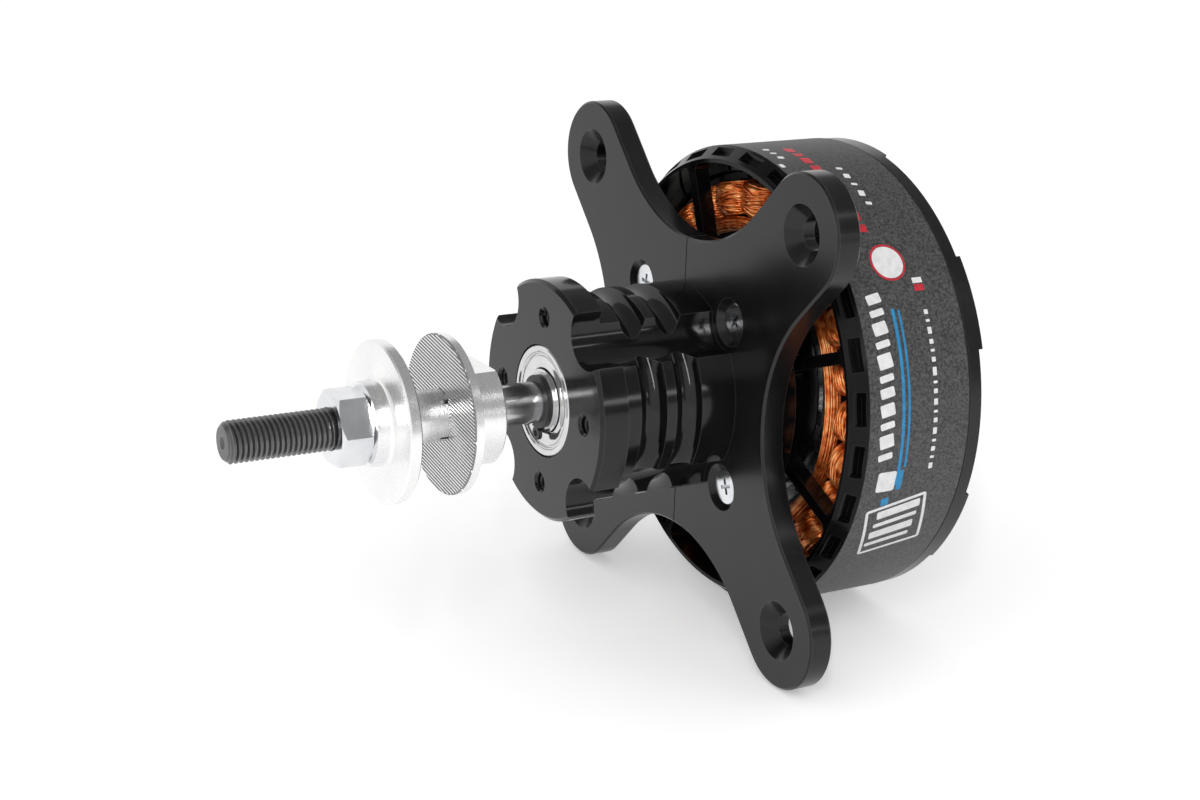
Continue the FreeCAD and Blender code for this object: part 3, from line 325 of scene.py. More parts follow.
@dataclass(frozen=True)
class Finish:
    """A metal or film finish with the marks that its making leaves.

    The colour shifts slightly to a second one in soft clouds, which are pure at the two levels
    of contrast. Fine grain and turning rings show in the bump and in the gloss. Sharp edges are
    painted a lighter colour, a painted highlight with a little wear in it: edge_levels say how far
    the normal turns within edge_radius where the pale edge starts and is full. Sizes are in
    millimetres.
    """

    name: str
    colour: str
    second: str
    metallic: float = 0.0
    roughness: float = 0.4
    spread: float = 0.1
    smoothest: float = 0.03
    cloud: float = 6.0
    contrast: Pair = (0.35, 0.65)
    grain: float = 0.35
    grain_depth: float = 0.004
    ring: float = 0.0
    ring_depth: float = 0.0
    # Colour of the pale edges: a painted highlight with a little wear in it
    edge_highlight_and_wear: str = ""
    edge_radius: float = 0.35
    edge_levels: Pair = (0.99, 0.9)
    edge_highlight_and_wear_share: float = 0.6
    coat: float = 0.0
    coat_roughness: float = 0.1
    ior: float = 1.5
    specular: float = 0.5

    def material(self) -> bpy.types.Material:
        """Build the material."""
        made = bpy.data.materials.new(self.name)
        made.use_nodes = True
        tree = made.node_tree
        tree.nodes.clear()
        place = add_node(tree, "TexCoord").outputs["Object"]
        height, marks = self.relief(tree, place)
        normal = add_node(tree, "Bump", {"Height": height, "Distance": MM, "Strength": 1.0})
        rough = add_node(tree, "MapRange", {
            "Value": marks, "To Min": max(self.roughness - self.spread, self.smoothest),
            "To Max": self.roughness + self.spread})
        settings = {
            "Base Color": self.colours(tree, place), "Metallic": self.metallic,
            "Roughness": rough.outputs[0], "Normal": normal.outputs[0]}
        if not self.metallic:
            settings.update({"IOR": self.ior, "Specular IOR Level": self.specular})
        if self.coat:
            settings.update({"Coat Weight": self.coat, "Coat Roughness": self.coat_roughness})
        add_node(tree, "OutputMaterial", {"Surface": self.shader(tree, settings).outputs[0]})
        return made

    def shader(self, tree: Tree, settings: dict) -> bpy.types.Node:
        """Add the surface shader with its settings."""
        return add_node(tree, "BsdfPrincipled", settings)

    def colours(self, tree: Tree, place: Socket) -> Socket:
        """Mix the two colours in clouds, and the pale edge colour, a painted highlight with a
        little wear, along edges.

        Args:
            tree: the material's tree.
            place: object coordinates.

        Returns:
            The colour socket.
        """
        share = add_node(tree, "MapRange", {
            "Value": noise(tree, place, self.cloud, detail=3.0), "From Min": self.contrast[0],
            "From Max": self.contrast[1]})
        mixed = blend(tree, share.outputs[0], linear(self.colour), linear(self.second))
        if not self.edge_highlight_and_wear:
            return mixed
        # Painted highlight: sharp edges, found where the rounded normal turns away from the plain
        # one, get the pale edge colour
        plain = add_node(tree, "NewGeometry")
        rounded = add_node(tree, "Bevel", {"Radius": self.edge_radius * MM}, samples=4)
        same = add_node(tree, "VectorMath", {
            0: plain.outputs["Normal"], 1: rounded.outputs[0]}, operation="DOT_PRODUCT")
        edge = add_node(tree, "MapRange", {
            "Value": same.outputs["Value"], "From Min": self.edge_levels[0],
            "From Max": self.edge_levels[1], "To Max": self.edge_highlight_and_wear_share})
        return blend(tree, edge.outputs[0], mixed, linear(self.edge_highlight_and_wear))

    def relief(self, tree: Tree, place: Socket) -> tuple[Socket, Socket]:
        """Make the height of grain and turning rings, and the marks that vary the gloss.

        Args:
            tree: the material's tree.
            place: object coordinates.

        Returns:
            The height socket, in millimetres, and the marks socket, from 0 to 1.
        """
        grain = noise(tree, place, self.grain, detail=2.0)
        height = maths(tree, "MULTIPLY", grain, self.grain_depth)
        if not self.ring:
            return height, grain
        across = add_node(tree, "VectorMath", {0: place, 1: (0.0, 1.0, 1.0)}, operation="MULTIPLY")
        radius = add_node(tree, "VectorMath", {0: across.outputs[0]}, operation="LENGTH")
        along = add_node(tree, "SeparateXYZ", {0: place})
        path = maths(tree, "ADD", radius.outputs["Value"], along.outputs[0])
        rings = add_node(tree, "TexNoise", {
            "W": path, "Scale": per_metre(self.ring), "Detail": 1.0},
            noise_dimensions="1D").outputs[0]
        return (maths(tree, "MULTIPLY_ADD", rings, self.ring_depth, height),
                maths(tree, "MULTIPLY", rings, grain))


# Aluminium, milled and black anodised: a satin black with a soft mirror and pale edges, a painted
# highlight with a little wear
BLACK_ANODISED = Finish("black_anodised_aluminium", "101011", "161617", roughness=0.24,
                        spread=0.05, grain=0.4, grain_depth=0.001, edge_highlight_and_wear="48484a", ior=1.42)
# Aluminium, turned, polished and black anodised: crisp stripes of light in its grooves, and a pale
# painted highlight on its edges
POLISHED_BLACK = Finish("black_anodised_polished_aluminium", "0c0c0d", "121213", roughness=0.13,
                        spread=0.03, grain=0.6, grain_depth=0.0006, edge_highlight_and_wear="48484a", ior=1.42)
# Aluminium, finely turned before black anodising: a glossy black with faint rings, and a faint
# pale painted highlight on its edges
TURNED_BLACK = Finish("black_anodised_turned_aluminium", "070708", "0c0c0d", roughness=0.17,
                      spread=0.05, grain=0.4, grain_depth=0.001, ring=0.4, ring_depth=0.0015,
                      edge_highlight_and_wear="2c2c2d", ior=1.33, specular=0.3)
# Aluminium, turned and left bright: near white, with rings that spread the highlights
BRIGHT_TURNED = Finish("turned_aluminium", "f8f8f7", "f0f0f1", metallic=1.0, roughness=0.29,
                       spread=0.03, cloud=9.0, grain=0.8, grain_depth=0.0002, ring=0.8,
                       ring_depth=0.0006)
# Painted shade on the flanks of the drive plate's serrations: aluminium coloured duller and greyer
# than the bright face
SHADED_FLANK = Finish("shaded_serration_flanks", "9c9c9d", "8e8e8f", metallic=1.0, roughness=0.45,
                      grain_depth=0.001)
# Bearing steel, ground and polished: mirror bright, faintly warm
BEARING_STEEL = Finish("polished_bearing_steel", "d9d9d8", "cfcfd0", metallic=1.0,
                       roughness=0.13, spread=0.04, grain_depth=0.001, ring=0.25, ring_depth=0.002)
# Steel shaft, centreless ground: bright with crisp stripes of light
GROUND_STEEL = Finish("ground_steel", "cfcfd0", "c4c4c6", metallic=1.0, roughness=0.22,
                      spread=0.05, grain_depth=0.001, ring=0.3, ring_depth=0.003)
# Steel, phosphated, for the retaining rings: dark grey, dull
SPRING_STEEL = Finish("phosphated_spring_steel", "4a4a4a", "3a3a3a", metallic=0.8,
                      roughness=0.42, grain=0.3, grain_depth=0.006)
# Steel, rolled thread, black oxide: charcoal with an oily gloss; its thread crests and edges are
# painted pale grey, a painted highlight
BLACK_OXIDE = Finish("black_oxide_steel", "656566", "565657", metallic=0.8, roughness=0.33,
                     spread=0.1, grain=0.3, grain_depth=0.004, edge_highlight_and_wear="a0a0a0")
# Steel, zinc plated: bright with a cool tint
ZINC = Finish("zinc_plated_steel", "e9eaec", "dadcdf", metallic=1.0, roughness=0.2,
              spread=0.07, grain=0.5, grain_depth=0.002, ring=0.5, ring_depth=0.003)
# Nickel plate on the magnets: grey metal, slightly warm
NICKEL = Finish("nickel_plated_magnets", "8a8883", "7b7974", metallic=1.0, roughness=0.3)
# Steel, black chromated: the can's ring, dark grey under its label
CAN_STEEL = Finish("black_chromated_can_steel", "3b3b3c", "303031", metallic=0.6, roughness=0.4)
# Polyamide, moulded: the bearing cages, dark brown and dull
NYLON = Finish("moulded_polyamide", "3a2c22", "30241b", roughness=0.5, grain_depth=0.004)


@dataclass(frozen=True)
class LaminatedSteel(Finish):
    """Electrical steel sheets in a stack, drawn as soft grooves across the shaft.

    A real sheet is 0.35 mm thick. One groove stands for about a dozen sheets, so that it shows.
    """

    groove: float = 4.42158
    groove_depth: float = 0.05

    def relief(self, tree: Tree, place: Socket) -> tuple[Socket, Socket]:
        """Make the grooves; see Finish.relief."""
        wave = add_node(tree, "TexWave", {
            "Vector": place, "Scale": per_metre(self.groove) * FULL_TURN / WAVE_RADIANS,
            "Distortion": 0.0}, bands_direction="X").outputs[1]
        return maths(tree, "MULTIPLY", wave, self.groove_depth), wave


@dataclass(frozen=True)
class EnamelledCopper(Finish):
    """Copper wire, drawn and enamelled: orange metal under a clear amber varnish.

    Strands differ in tone at random, in noise spots, from a red brown painted shade tone through
    the orange to a pale painted highlight tone.
    """

    # Red brown painted shade tone, spread at random in noise spots
    painted_shade_tone: str = "a8440f"
    tones: Triple = (0.34, 0.48, 0.62)

    def colours(self, tree: Tree, place: Socket) -> Socket:
        """Vary the tone from strand to strand; see Finish.colours."""
        ramp = add_node(tree, "ValToRGB", {0: noise(tree, place, self.cloud, detail=4.0)})
        steps = ramp.color_ramp.elements
        steps[0].position, steps[0].color = self.tones[0], linear(self.painted_shade_tone)
        steps[1].position, steps[1].color = self.tones[2], linear(self.second)
        steps.new(self.tones[1]).color = linear(self.colour)
        return ramp.outputs[0]


LAMINATIONS = LaminatedSteel("laminated_electrical_steel", "2c2c2e", "3a3a3c", metallic=0.5,
                             roughness=0.45)
# Its second colour, pale orange, is a painted highlight tone, spread at random with the painted
# shade tone
COPPER = EnamelledCopper("enamelled_copper_wire", "f07a2c", "ffb06a", metallic=0.75,
                         roughness=0.34, spread=0.08, cloud=1.6, grain_depth=0.002, coat=0.4)
# Polyester film, printed and laminated matt: mid grey with a fine sandy grain
LABEL_FILM = Finish("matt_polyester_film", "262627", "565657", roughness=0.5, spread=0.12,
                    cloud=0.5, grain=0.5, grain_depth=0.006)
# Screen inks on the film: flat and dense, with the film's grain showing through
WHITE_INK, RED_INK, BLUE_INK = (
    Finish(f"{ink}_screen_ink", colour, second, roughness=0.45, cloud=1.2, grain_depth=0.004)
    for ink, colour, second in (("white", "f2f2f2", "e4e4e4"), ("red", "d81e34", "b81428"),
                                ("blue", "1c8fc8", "187fb4")))
# Painted board of the studio's cards: mid grey and dull
GREY_CARD = Finish("grey_painted_board", "b4b4b4", "aeaeae", roughness=0.9, cloud=60.0, grain=2.0,
                   grain_depth=0.05, specular=0.0)


@dataclass(frozen=True)
class SweepPaper(Finish):
    """Paper of the studio's floor: matt white, lifted a little so that it shows pure white."""

    lift: float = 0.34

    def shader(self, tree: Tree, settings: dict) -> bpy.types.Node:
        """Add the lift where the paper is seen; see Finish.shader."""
        lift = add_node(tree, "MapRange", {"Value": looked_at(tree), "To Max": self.lift})
        settings.update({"Emission Color": linear("ffffff"), "Emission Strength": lift.outputs[0]})
        return super().shader(tree, settings)


SWEEP_PAPER = SweepPaper("matt_paper_sweep", "fbfbfb", "f8f8f8", roughness=0.9, cloud=80.0,
                         grain=1.5, grain_depth=0.002, specular=0.0)


class PaintShop:
    """Builds each finish's material once and dresses pieces with it."""

    def __init__(self) -> None:
        """Start with no material made."""
        self.made: dict[str, bpy.types.Material] = {}

    def material(self, finish: Finish) -> bpy.types.Material:
        """Give a finish's material, made at its first use."""
        if finish.name not in self.made:
            self.made[finish.name] = finish.material()
        return self.made[finish.name]

    def dress(self, piece: Object, finish: Finish) -> None:
        """Give all of a piece one finish."""
        piece.data.materials.clear()
        piece.data.materials.append(self.material(finish))

    def fit(self, piece: Object, body: Part, finish: Finish,
            stands_for: tuple[str, ...] = (), sharp: float = 35.0) -> Object:
        """Finish a new piece and mount it on its body.

        Args:
            piece: the finished mesh.
            body: the body that it moves with.
            finish: what it is made of.
            stands_for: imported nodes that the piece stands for.
            sharp: edges over this angle in degrees stay sharp.

        Returns:
            The same piece.
        """
        settle(piece)
        bpy.ops.object.shade_smooth_by_angle(angle=math.radians(sharp))
        self.dress(piece, finish)
        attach(piece, body.value)
        if stands_for:
            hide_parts(*stands_for)
        LOG.info("%s on %s: %d faces", piece.name, body.value, len(piece.data.polygons))
        return piece


@dataclass
class PackedNodes:
    """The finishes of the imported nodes; a node that isn't named is black anodised."""

    finishes: dict[str, Finish] = field(default_factory=lambda: {
        "hub_housing": POLISHED_BLACK, "mount_cross_right": BLACK_ANODISED,
        "mount_cross_left": BLACK_ANODISED, "front_bell": TURNED_BLACK,
        "rear_bell": BLACK_ANODISED, "stator_carrier": BRIGHT_TURNED,
        "carrier_circlip": SPRING_STEEL, "shaft_circlip": SPRING_STEEL,
        "shaft_shim": GROUND_STEEL, "motor_shaft": GROUND_STEEL, "stator_core": LAMINATIONS,
        "rotor_can": CAN_STEEL, "rotor_magnets": NICKEL, "can_label": LABEL_FILM,
        "bell_grub_screws": BLACK_OXIDE, "prop_collet": BRIGHT_TURNED,
        "prop_washer": BRIGHT_TURNED, "prop_nut": ZINC})
    bearings: tuple[str, ...] = ("front", "rear", "bell")
    bearing_parts: tuple[str, ...] = ("outer_ring", "inner_ring", "shields", "balls")

    def dress(self, shop: PaintShop) -> None:
        """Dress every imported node, also those that a finer piece will stand for."""
        for bearing in self.bearings:
            for part in self.bearing_parts:
                self.finishes[f"{bearing}_bearing_{part}"] = BEARING_STEEL
            self.finishes[f"{bearing}_bearing_cage"] = NYLON
        for name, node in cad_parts.items():
            shop.dress(node, self.finishes.get(name, BLACK_ANODISED))
            LOG.info("%s is dressed as packed", name)


@dataclass
class CrossScrews:
    """Four countersunk screws with a cross recess, which hold the cross to the hub."""

    circle: float = 23.5
    first: float = 45.0
    top: float = 3.9
    head: float = 3.55
    shank: float = 1.98
    end: float = -3.6
    bevel: float = 0.15
    recess_depth: float = 1.7
    recess_span: float = 4.3
    recess_width: float = 0.95
    recess_taper: float = 0.5
    turns: tuple[float, ...] = (12.0, 40.0, -20.0, 65.0)

    def build(self, shop: PaintShop) -> None:
        """Turn one screw, cut its recess and set four copies in place."""
        neck = self.top - self.head + self.shank
        screw = lathe("cross_screw", [
            (self.end, 0), (self.end, self.shank), (neck, self.shank),
            (self.top - self.bevel, self.head), (self.top, self.head - self.bevel),
            (self.top, 0)], steps=48)
        for angle in (0, math.pi / 2):
            carve(screw, self.blade(angle))
        for number, turn in enumerate(self.turns):
            copy = turned_copy(screw, f"cross_screw_{number + 1}", math.radians(turn))
            copy.data.transform(Matrix.Translation((0, self.circle * MM, 0)))
            swing = math.radians(self.first + QUARTER * number)
            copy.data.transform(Matrix.Rotation(swing, 4, "X"))
            shop.fit(copy, Part.STATOR, ZINC, ("cross_screws",))
        bpy.data.objects.remove(screw)

    def blade(self, angle: float) -> Object:
        """Make one blade of the recess's cross, narrower at its foot.

        Args:
            angle: the blade's turn about the screw's axis, in radians.

        Returns:
            The cutting tool.
        """
        tool = block((2 * self.recess_depth, self.recess_span, self.recess_width),
                     (self.top * MM, 0, 0))
        pick(tool, "FACE", lambda p: p.x < NEAR - self.recess_depth)
        bpy.ops.transform.resize(value=(1, self.recess_taper, self.recess_taper))
        close_mesh()
        settle(tool)
        tool.data.transform(Matrix.Rotation(angle, 4, "X"))
        return tool


@dataclass
class FrontBearing:
    """The outer ring and the dished shields of the bearing in the hub's face."""

    ring: tuple[Pair, ...] = (
        (29.05, 11.0), (35.6, 11.0), (36.05, 10.55), (36.05, 9.8), (35.8, 9.51), (35.15, 9.51),
        (35.15, 8.81), (34.11, 8.81), (33.4, 9.35), (32.55, 9.54), (31.7, 9.35), (30.99, 8.81),
        (29.95, 8.81), (29.95, 9.51), (29.05, 9.51))
    shield: tuple[Pair, ...] = (
        (35.17, 9.49), (35.7, 9.49), (35.85, 9.36), (35.85, 9.2), (35.7, 9.08), (35.32, 8.98),
        (35.32, 8.78), (35.62, 8.6), (35.62, 8.35), (35.45, 7.6), (35.4, 6.9), (35.5, 6.46),
        (35.17, 6.46))
    back: tuple[Pair, ...] = (
        (29.55, 9.49), (29.95, 9.49), (29.95, 6.46), (29.55, 6.46))
    steps: int = 128

    def build(self, shop: PaintShop) -> None:
        """Turn the ring and the shields."""
        ring = lathe("bearing_race_ring", list(self.ring), self.steps)
        shop.fit(ring, Part.STATOR, BEARING_STEEL,
                 ("front_bearing_outer_ring",), sharp=20)
        shields = join("dished_bearing_shields", [
            lathe("front_shield", list(self.shield), self.steps),
            lathe("back_shield", list(self.back), self.steps)])
        shop.fit(shields, Part.STATOR, BEARING_STEEL,
                 ("front_bearing_shields",), sharp=40)


@dataclass
class HoleThreads:
    """The thread ridges in the four tapped holes of the hub's face."""

    circle: float = 16.5
    hole: float = 1.66
    ridge: float = 1.38
    pitch: float = 0.7
    section: float = 0.9
    front: float = 35.4
    turns: int = 9
    steps: int = 20

    def build(self, shop: PaintShop) -> None:
        """Wind one ridge and set four copies in the holes."""
        back = self.front - self.pitch * self.turns
        ridge = draw_line("tapped_hole_thread", [
            (back, self.hole), (back + self.pitch / 2, self.ridge),
            (back + self.pitch * self.section, self.hole)], closed=True)
        close_mesh()
        apply_modifier(ridge, "SCREW", axis="X", steps=self.steps, render_steps=self.steps,
                       screw_offset=self.pitch * MM, iterations=self.turns - 1)
        open_mesh(ridge, "VERT")
        bpy.ops.mesh.select_non_manifold()
        bpy.ops.mesh.edge_face_add()
        tidy_mesh()
        for number in range(4):
            copy = turned_copy(ridge, f"tapped_hole_thread_{number + 1}", 0)
            copy.data.transform(Matrix.Translation((0, self.circle * MM, 0)))
            copy.data.transform(Matrix.Rotation(math.radians(QUARTER * number), 4, "X"))
            shop.fit(copy, Part.STATOR, BLACK_ANODISED)
        bpy.data.objects.remove(ridge)


@dataclass
class Winding:
    """Twenty-four coils of enamelled wire round the stator's teeth, and the strands between.

    A coil is a core pad with turns of wire on it. The ends of the turns stand in soft heaps at
    both ends of the stator, and a few loose turns cross the others at a slant. Sizes are in
    millimetres; tilts and leans, in degrees, and slips are drawn at random. loose_span is the
    first loose turn's share of the coil's height, and their reach.
    """

    middle: float = -19.2
    length: float = 21.6
    inner: float = 32.0
    outer: float = 38.9
    gap: float = 0.84
    teeth: int = 24
    phase_coils: int = 8
    coil_step: float = 45.0
    tooth: Pair = (14.2, 3.8)
    wire: float = 0.44
    wire_corner: float = 3.3
    margin: float = 0.3
    heap: float = 2.0
    heap_share: float = 0.9
    turns: int = 15
    slip: Pair = (-0.14, 0.04)
    tilt: Pair = (-1.2, 1.2)
    loose_turns: int = 6
    loose_span: Pair = (0.2, 0.6)
    loose_height: float = 0.3
    loose_widening: float = 0.15
    loose_slip: Pair = (-0.1, 0.1)
    loose_tilt: Pair = (9, 17)
    pad_wires: float = 2.2
    pad_play: float = 0.5
    pad_slack: float = 1.1
    pad_corner: float = 3.2
    pad_edge: float = 1.0
    bundle_radius: float = 30.3
    bundle_place: float = -10.5
    bundle_half: float = 1.2
    bundle_core: float = 0.85
    bundle_strands: int = 18
    bundle_spread: float = 0.28
    bundle_lean: float = 0.5
    bundle_steps: int = 96
    core_sides: int = 8
    seed: int = 11

    def half_width(self, radius: float) -> float:
        """Give half a coil's width at a distance from the shaft's line."""
        return radius * math.tan(math.pi / self.teeth) - self.gap / 2

    def build(self, shop: PaintShop) -> None:
        """Wind one coil, set it round every tooth, and lay the strands that join the coils."""
        coil = self.coil()
        for phase in "abc":
            node = f"coils_phase_{phase}"
            first = self.first_angle(node)
            turns = [first + math.radians(self.coil_step * k) for k in range(self.phase_coils)]
            copies = [turned_copy(coil, f"{node}_{k}", turn) for k, turn in enumerate(turns)]
            shop.fit(join(f"wound_{node}", copies), Part.STATOR, COPPER, (node,),
                     sharp=60)
        bpy.data.objects.remove(coil)
        shop.fit(self.bundle(), Part.STATOR, COPPER, ("winding_bundle",), sharp=60)

    def first_angle(self, node: str) -> float:
        """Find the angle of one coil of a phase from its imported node, in radians."""
        tip = max((v.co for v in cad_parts[node].data.vertices), key=lambda p: p.x)
        return math.atan2(tip.z, tip.y)

    def coil(self) -> Object:
        """Wind a coil round a tooth that points along Y.

        Returns:
            The coil's pad and wires as one mesh.
        """
        rng = random.Random(self.seed)
        loops = small_plane("strands")
        bpy.ops.mesh.delete(type="VERT")
        for number in range(self.turns):
            self.add_turn(number / (self.turns - 1), 0.0, rng.uniform(*self.slip),
                          rng.uniform(*self.tilt))
        first, span = self.loose_span
        for number in range(self.loose_turns):
            self.add_turn(first + span * number / (self.loose_turns - 1), self.loose_height,
                          rng.uniform(*self.loose_slip),
                          rng.uniform(*self.loose_tilt) * rng.choice((-1, 1)))
        select_mesh()
        bpy.ops.mesh.bevel(offset=self.wire_corner * MM, segments=6, affect="VERTICES")
        select_mesh()
        bpy.ops.mesh.delete(type="ONLY_FACE")
        close_mesh()
        return join("coil", [wires("strands", loops, self.wire), self.pad()])

    def add_turn(self, share: float, proud: float, slip: float, tilt: float) -> None:
        """Add one turn of wire, as a plane whose corners are rounded later.

        Args:
            share: the turn's place, from 0 at the coil's foot to 1 at its tip.
            proud: how far it stands over the other turns at each end.
            slip: a small shift along the shaft.
            tilt: its slant in degrees.
        """
        low, high = self.inner + self.margin, self.outer - self.margin
        radius = low + (high - low) * share
        drop = self.heap * (1 - math.sqrt(1 - (self.heap_share * (2 * share - 1)) ** 2))
        length = self.length - self.wire - 2 * drop + 2 * proud
        width = 2 * self.half_width(radius) - self.wire + min(proud, self.loose_widening)
        at = (self.middle + slip) * MM, radius * MM, 0
        bpy.ops.mesh.primitive_plane_add(size=MM, location=at, rotation=(math.pi / 2, 0, 0))
        bpy.ops.transform.resize(value=(length, 1, width), center_override=at)
        bpy.ops.transform.rotate(value=math.radians(tilt), orient_axis="X", center_override=at)

    def pad(self) -> Object:
        """Make the coil's core pad, a rounded block with a slot for the tooth.

        Returns:
            The pad round a tooth that points along Y.
        """
        reach = self.outer - self.inner - self.pad_play
        at = Vector((self.middle, self.inner + self.pad_play / 2 + reach / 2, 0)) * MM
        pad = block((self.length - self.pad_wires * self.wire, reach,
                     2 * self.half_width(self.outer) - self.pad_slack), at)
        pick(pad, "FACE", lambda p: p.y < NEAR - reach / 2)
        taper = self.half_width(self.inner) / self.half_width(self.outer)
        bpy.ops.transform.resize(value=(1, 1, taper))
        pick(pad, "EDGE", lambda p: abs(p.y) < NEAR)
        bpy.ops.mesh.bevel(offset=self.pad_corner * MM, segments=5, affect="EDGES")
        pick(pad, "FACE", lambda p: abs(p.y) > reach / 2 - NEAR)
        bpy.ops.mesh.bevel(offset=self.pad_edge * MM, segments=3, affect="EDGES")
        tidy_mesh()
        settle(pad)
        tooth = block((self.tooth[0], 3 * reach, self.tooth[1]), at)
        close_mesh()
        settle(tooth)
        carve(pad, tooth)
        return pad

    def bundle(self) -> Object:
        """Lay the strands that join the coils, in a thick ring ahead of the yoke.

        Returns:
            The ring of strands.
        """
        rng = random.Random(self.seed + 1)
        middle, place, half = self.bundle_radius, self.bundle_place, self.bundle_half
        deselect()
        self.add_ring(middle, (place * MM, 0, 0))
        ring = bpy.context.object
        settle(ring)
        open_mesh(ring, "VERT")
        for number in range(self.bundle_strands):
            angle = FULL_TURN * number / self.bundle_strands
            slip = [rng.uniform(-1, 1) * self.bundle_spread for _ in range(2)]
            at = Vector((place + half * math.cos(angle), *slip)) * MM
            self.add_ring(middle + half * math.sin(angle), at)
            lean = rng.uniform(-self.bundle_lean, self.bundle_lean)
            bpy.ops.transform.rotate(value=math.radians(lean), center_override=at,
                                     orient_axis=rng.choice("YZ"))
        close_mesh()
        strands = wires("winding_bundle_strands", ring, self.wire)
        core = half * self.bundle_core
        corners = [(place + core * math.cos(a), middle + core * math.sin(a))
                   for a in (FULL_TURN * k / self.core_sides for k in range(self.core_sides))]
        return join("winding_bundle_strands", [strands, lathe("bundle_core", corners)])

    def add_ring(self, radius: float, at: Vector | tuple) -> None:
        """Add a circle round the shaft's direction, with its middle at a place in metres."""
        bpy.ops.mesh.primitive_circle_add(vertices=self.bundle_steps, radius=radius * MM,
                                          location=at, rotation=(0, math.pi / 2, 0))


@dataclass
class PropAdapter:
    """The threaded stud and the serrated drive plate of the propeller adapter.

    thread_flanks are the shares of the pitch where the thread rises from its root, meets its
    crest, leaves it and is back at its root. flank_lean bounds the part of a face's normal
    along the shaft on a serration's flank.
    """

    stud_back: float = 62.6
    grip: float = 4.0
    relief: float = 3.3
    relief_back: float = 67.4
    thread_back: float = 68.6
    tip: float = 100.2
    chamfer: float = 0.9
    drill: float = 1.3
    drill_depth: float = 1.5
    pitch: float = 1.0
    thread_depth: float = 0.58
    thread_play: float = 0.02
    thread_flanks: tuple[float, ...] = (0.12, 0.44, 0.56, 0.88)
    run_out: float = 2.5
    trim: float = 0.5
    overlap: float = 0.1
    steps: int = 40
    sharp: float = 28.0
    plate_front: float = 57.6
    serration_pitch: float = 0.68
    serration_depth: float = 0.21
    serration_length: float = 34.0
    serrations: int = 46
    serration_turn: float = -9.4
    flank_lean: Pair = (0.3, 0.9)

    def build(self, shop: PaintShop) -> None:
        """Cut the stud's thread and the drive plate's serrations."""
        shop.fit(self.stud(), Part.ROTOR, BLACK_OXIDE, ("prop_stud",), self.sharp)
        plate = shop.fit(self.plate(), Part.ROTOR, BRIGHT_TURNED,
                         ("prop_drive_plate",), self.sharp)
        # Painted shade: the serrations' flanks, found by their lean, get the grey flank colour
        plate.data.materials.append(shop.material(SHADED_FLANK))
        near_face = (self.plate_front - self.serration_depth) * MM
        low, high = self.flank_lean
        for face in plate.data.polygons:
            if face.center.x > near_face and low < face.normal.x < high:
                face.material_index = 1

    def stud(self) -> Object:
        """Make the stud: a plain grip, a relief groove and a thread with a chamfered tip.

        Returns:
            The stud.
        """
        thread = self.thread()
        blank = lathe("thread_blank", [
            (self.thread_back, 0), (self.thread_back, self.grip),
            (self.tip - self.chamfer, self.grip), (self.tip, self.grip - self.chamfer),
            (self.tip, self.drill), (self.tip - self.drill_depth, 0)], steps=80)
        carve(thread, blank, "INTERSECT")
        root = lathe("stud_grip", [
            (self.stud_back, 0), (self.stud_back, self.grip), (self.relief_back, self.grip),
            (self.relief_back, self.relief), (self.thread_back + self.overlap, self.relief),
            (self.thread_back + self.overlap, 0)], steps=80)
        carve(thread, root, "UNION")
        thread.name = "threaded_stud"
        return thread

    def thread(self) -> Object:
        """Wind the thread's section round the shaft's line and cut both ends flat.

        Returns:
            A rod that is threaded all along.
        """
        crest, root = self.grip - self.thread_play, self.grip - self.thread_depth
        start, pitch = self.thread_back - self.run_out, self.pitch
        turns = round((self.tip - start) / pitch) + 2
        rise, top, fall, foot = (start + pitch * share for share in self.thread_flanks)
        rod = draw_line("thread_rod", [
            (start, root), (rise, root), (top, crest), (fall, crest), (foot, root),
            (start + pitch, root)], closed=False)
        close_mesh()
        apply_modifier(rod, "SCREW", axis="X", steps=self.steps, render_steps=self.steps,
                       screw_offset=pitch * MM, iterations=turns, use_merge_vertices=True,
                       merge_threshold=MERGE)
        for place, outwards in ((self.thread_back - self.trim, -1), (self.tip + self.trim, 1)):
            open_mesh(rod)
            select_mesh()
            bpy.ops.mesh.bisect(plane_co=(place * MM, 0, 0), plane_no=(outwards, 0, 0),
                                use_fill=True, clear_outer=True, threshold=ON_CUT)
            tidy_mesh()
        return rod

    def plate(self) -> Object:
        """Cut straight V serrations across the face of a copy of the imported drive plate.

        Returns:
            The drive plate, with its loose triangles merged and its stored normals cleared.
        """
        plate = bpy.data.objects.new("serrated_drive_plate",
                                     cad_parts["prop_drive_plate"].data.copy())
        bpy.context.scene.collection.objects.link(plate)
        hold(plate)
        bpy.ops.mesh.customdata_custom_splitnormals_clear()
        open_mesh(plate)
        tidy_mesh()
        turn = math.radians(self.serration_turn)
        step = Vector((0, -math.sin(turn), math.cos(turn))) * self.serration_pitch * MM
        first = Vector((self.plate_front * MM, 0, 0)) - step * (self.serrations - 1) / 2
        deselect()
        bpy.ops.mesh.primitive_cylinder_add(
            vertices=4, radius=self.serration_depth * MM, depth=self.serration_length * MM,
            location=first, rotation=(turn - math.pi / 2, 0, 0))
        bar = bpy.context.object
        settle(bar)
        apply_modifier(bar, "ARRAY", count=self.serrations, use_relative_offset=False,
                       use_constant_offset=True, constant_offset_displace=step)
        carve(plate, bar)
        return plate


@dataclass(frozen=True)
class Mark:
    """One printed mark on the label.

    turn is degrees round the can at its middle, place is along the shaft, length runs round
    the can and width along the shaft, in millimetres. corner rounds its corners, lean turns it
    in degrees, and line makes it an open frame with lines of that width.
    """

    turn: float
    place: float
    length: float
    width: float
    corner: float = 0.2
    lean: float = 0.0
    line: float = 0.0


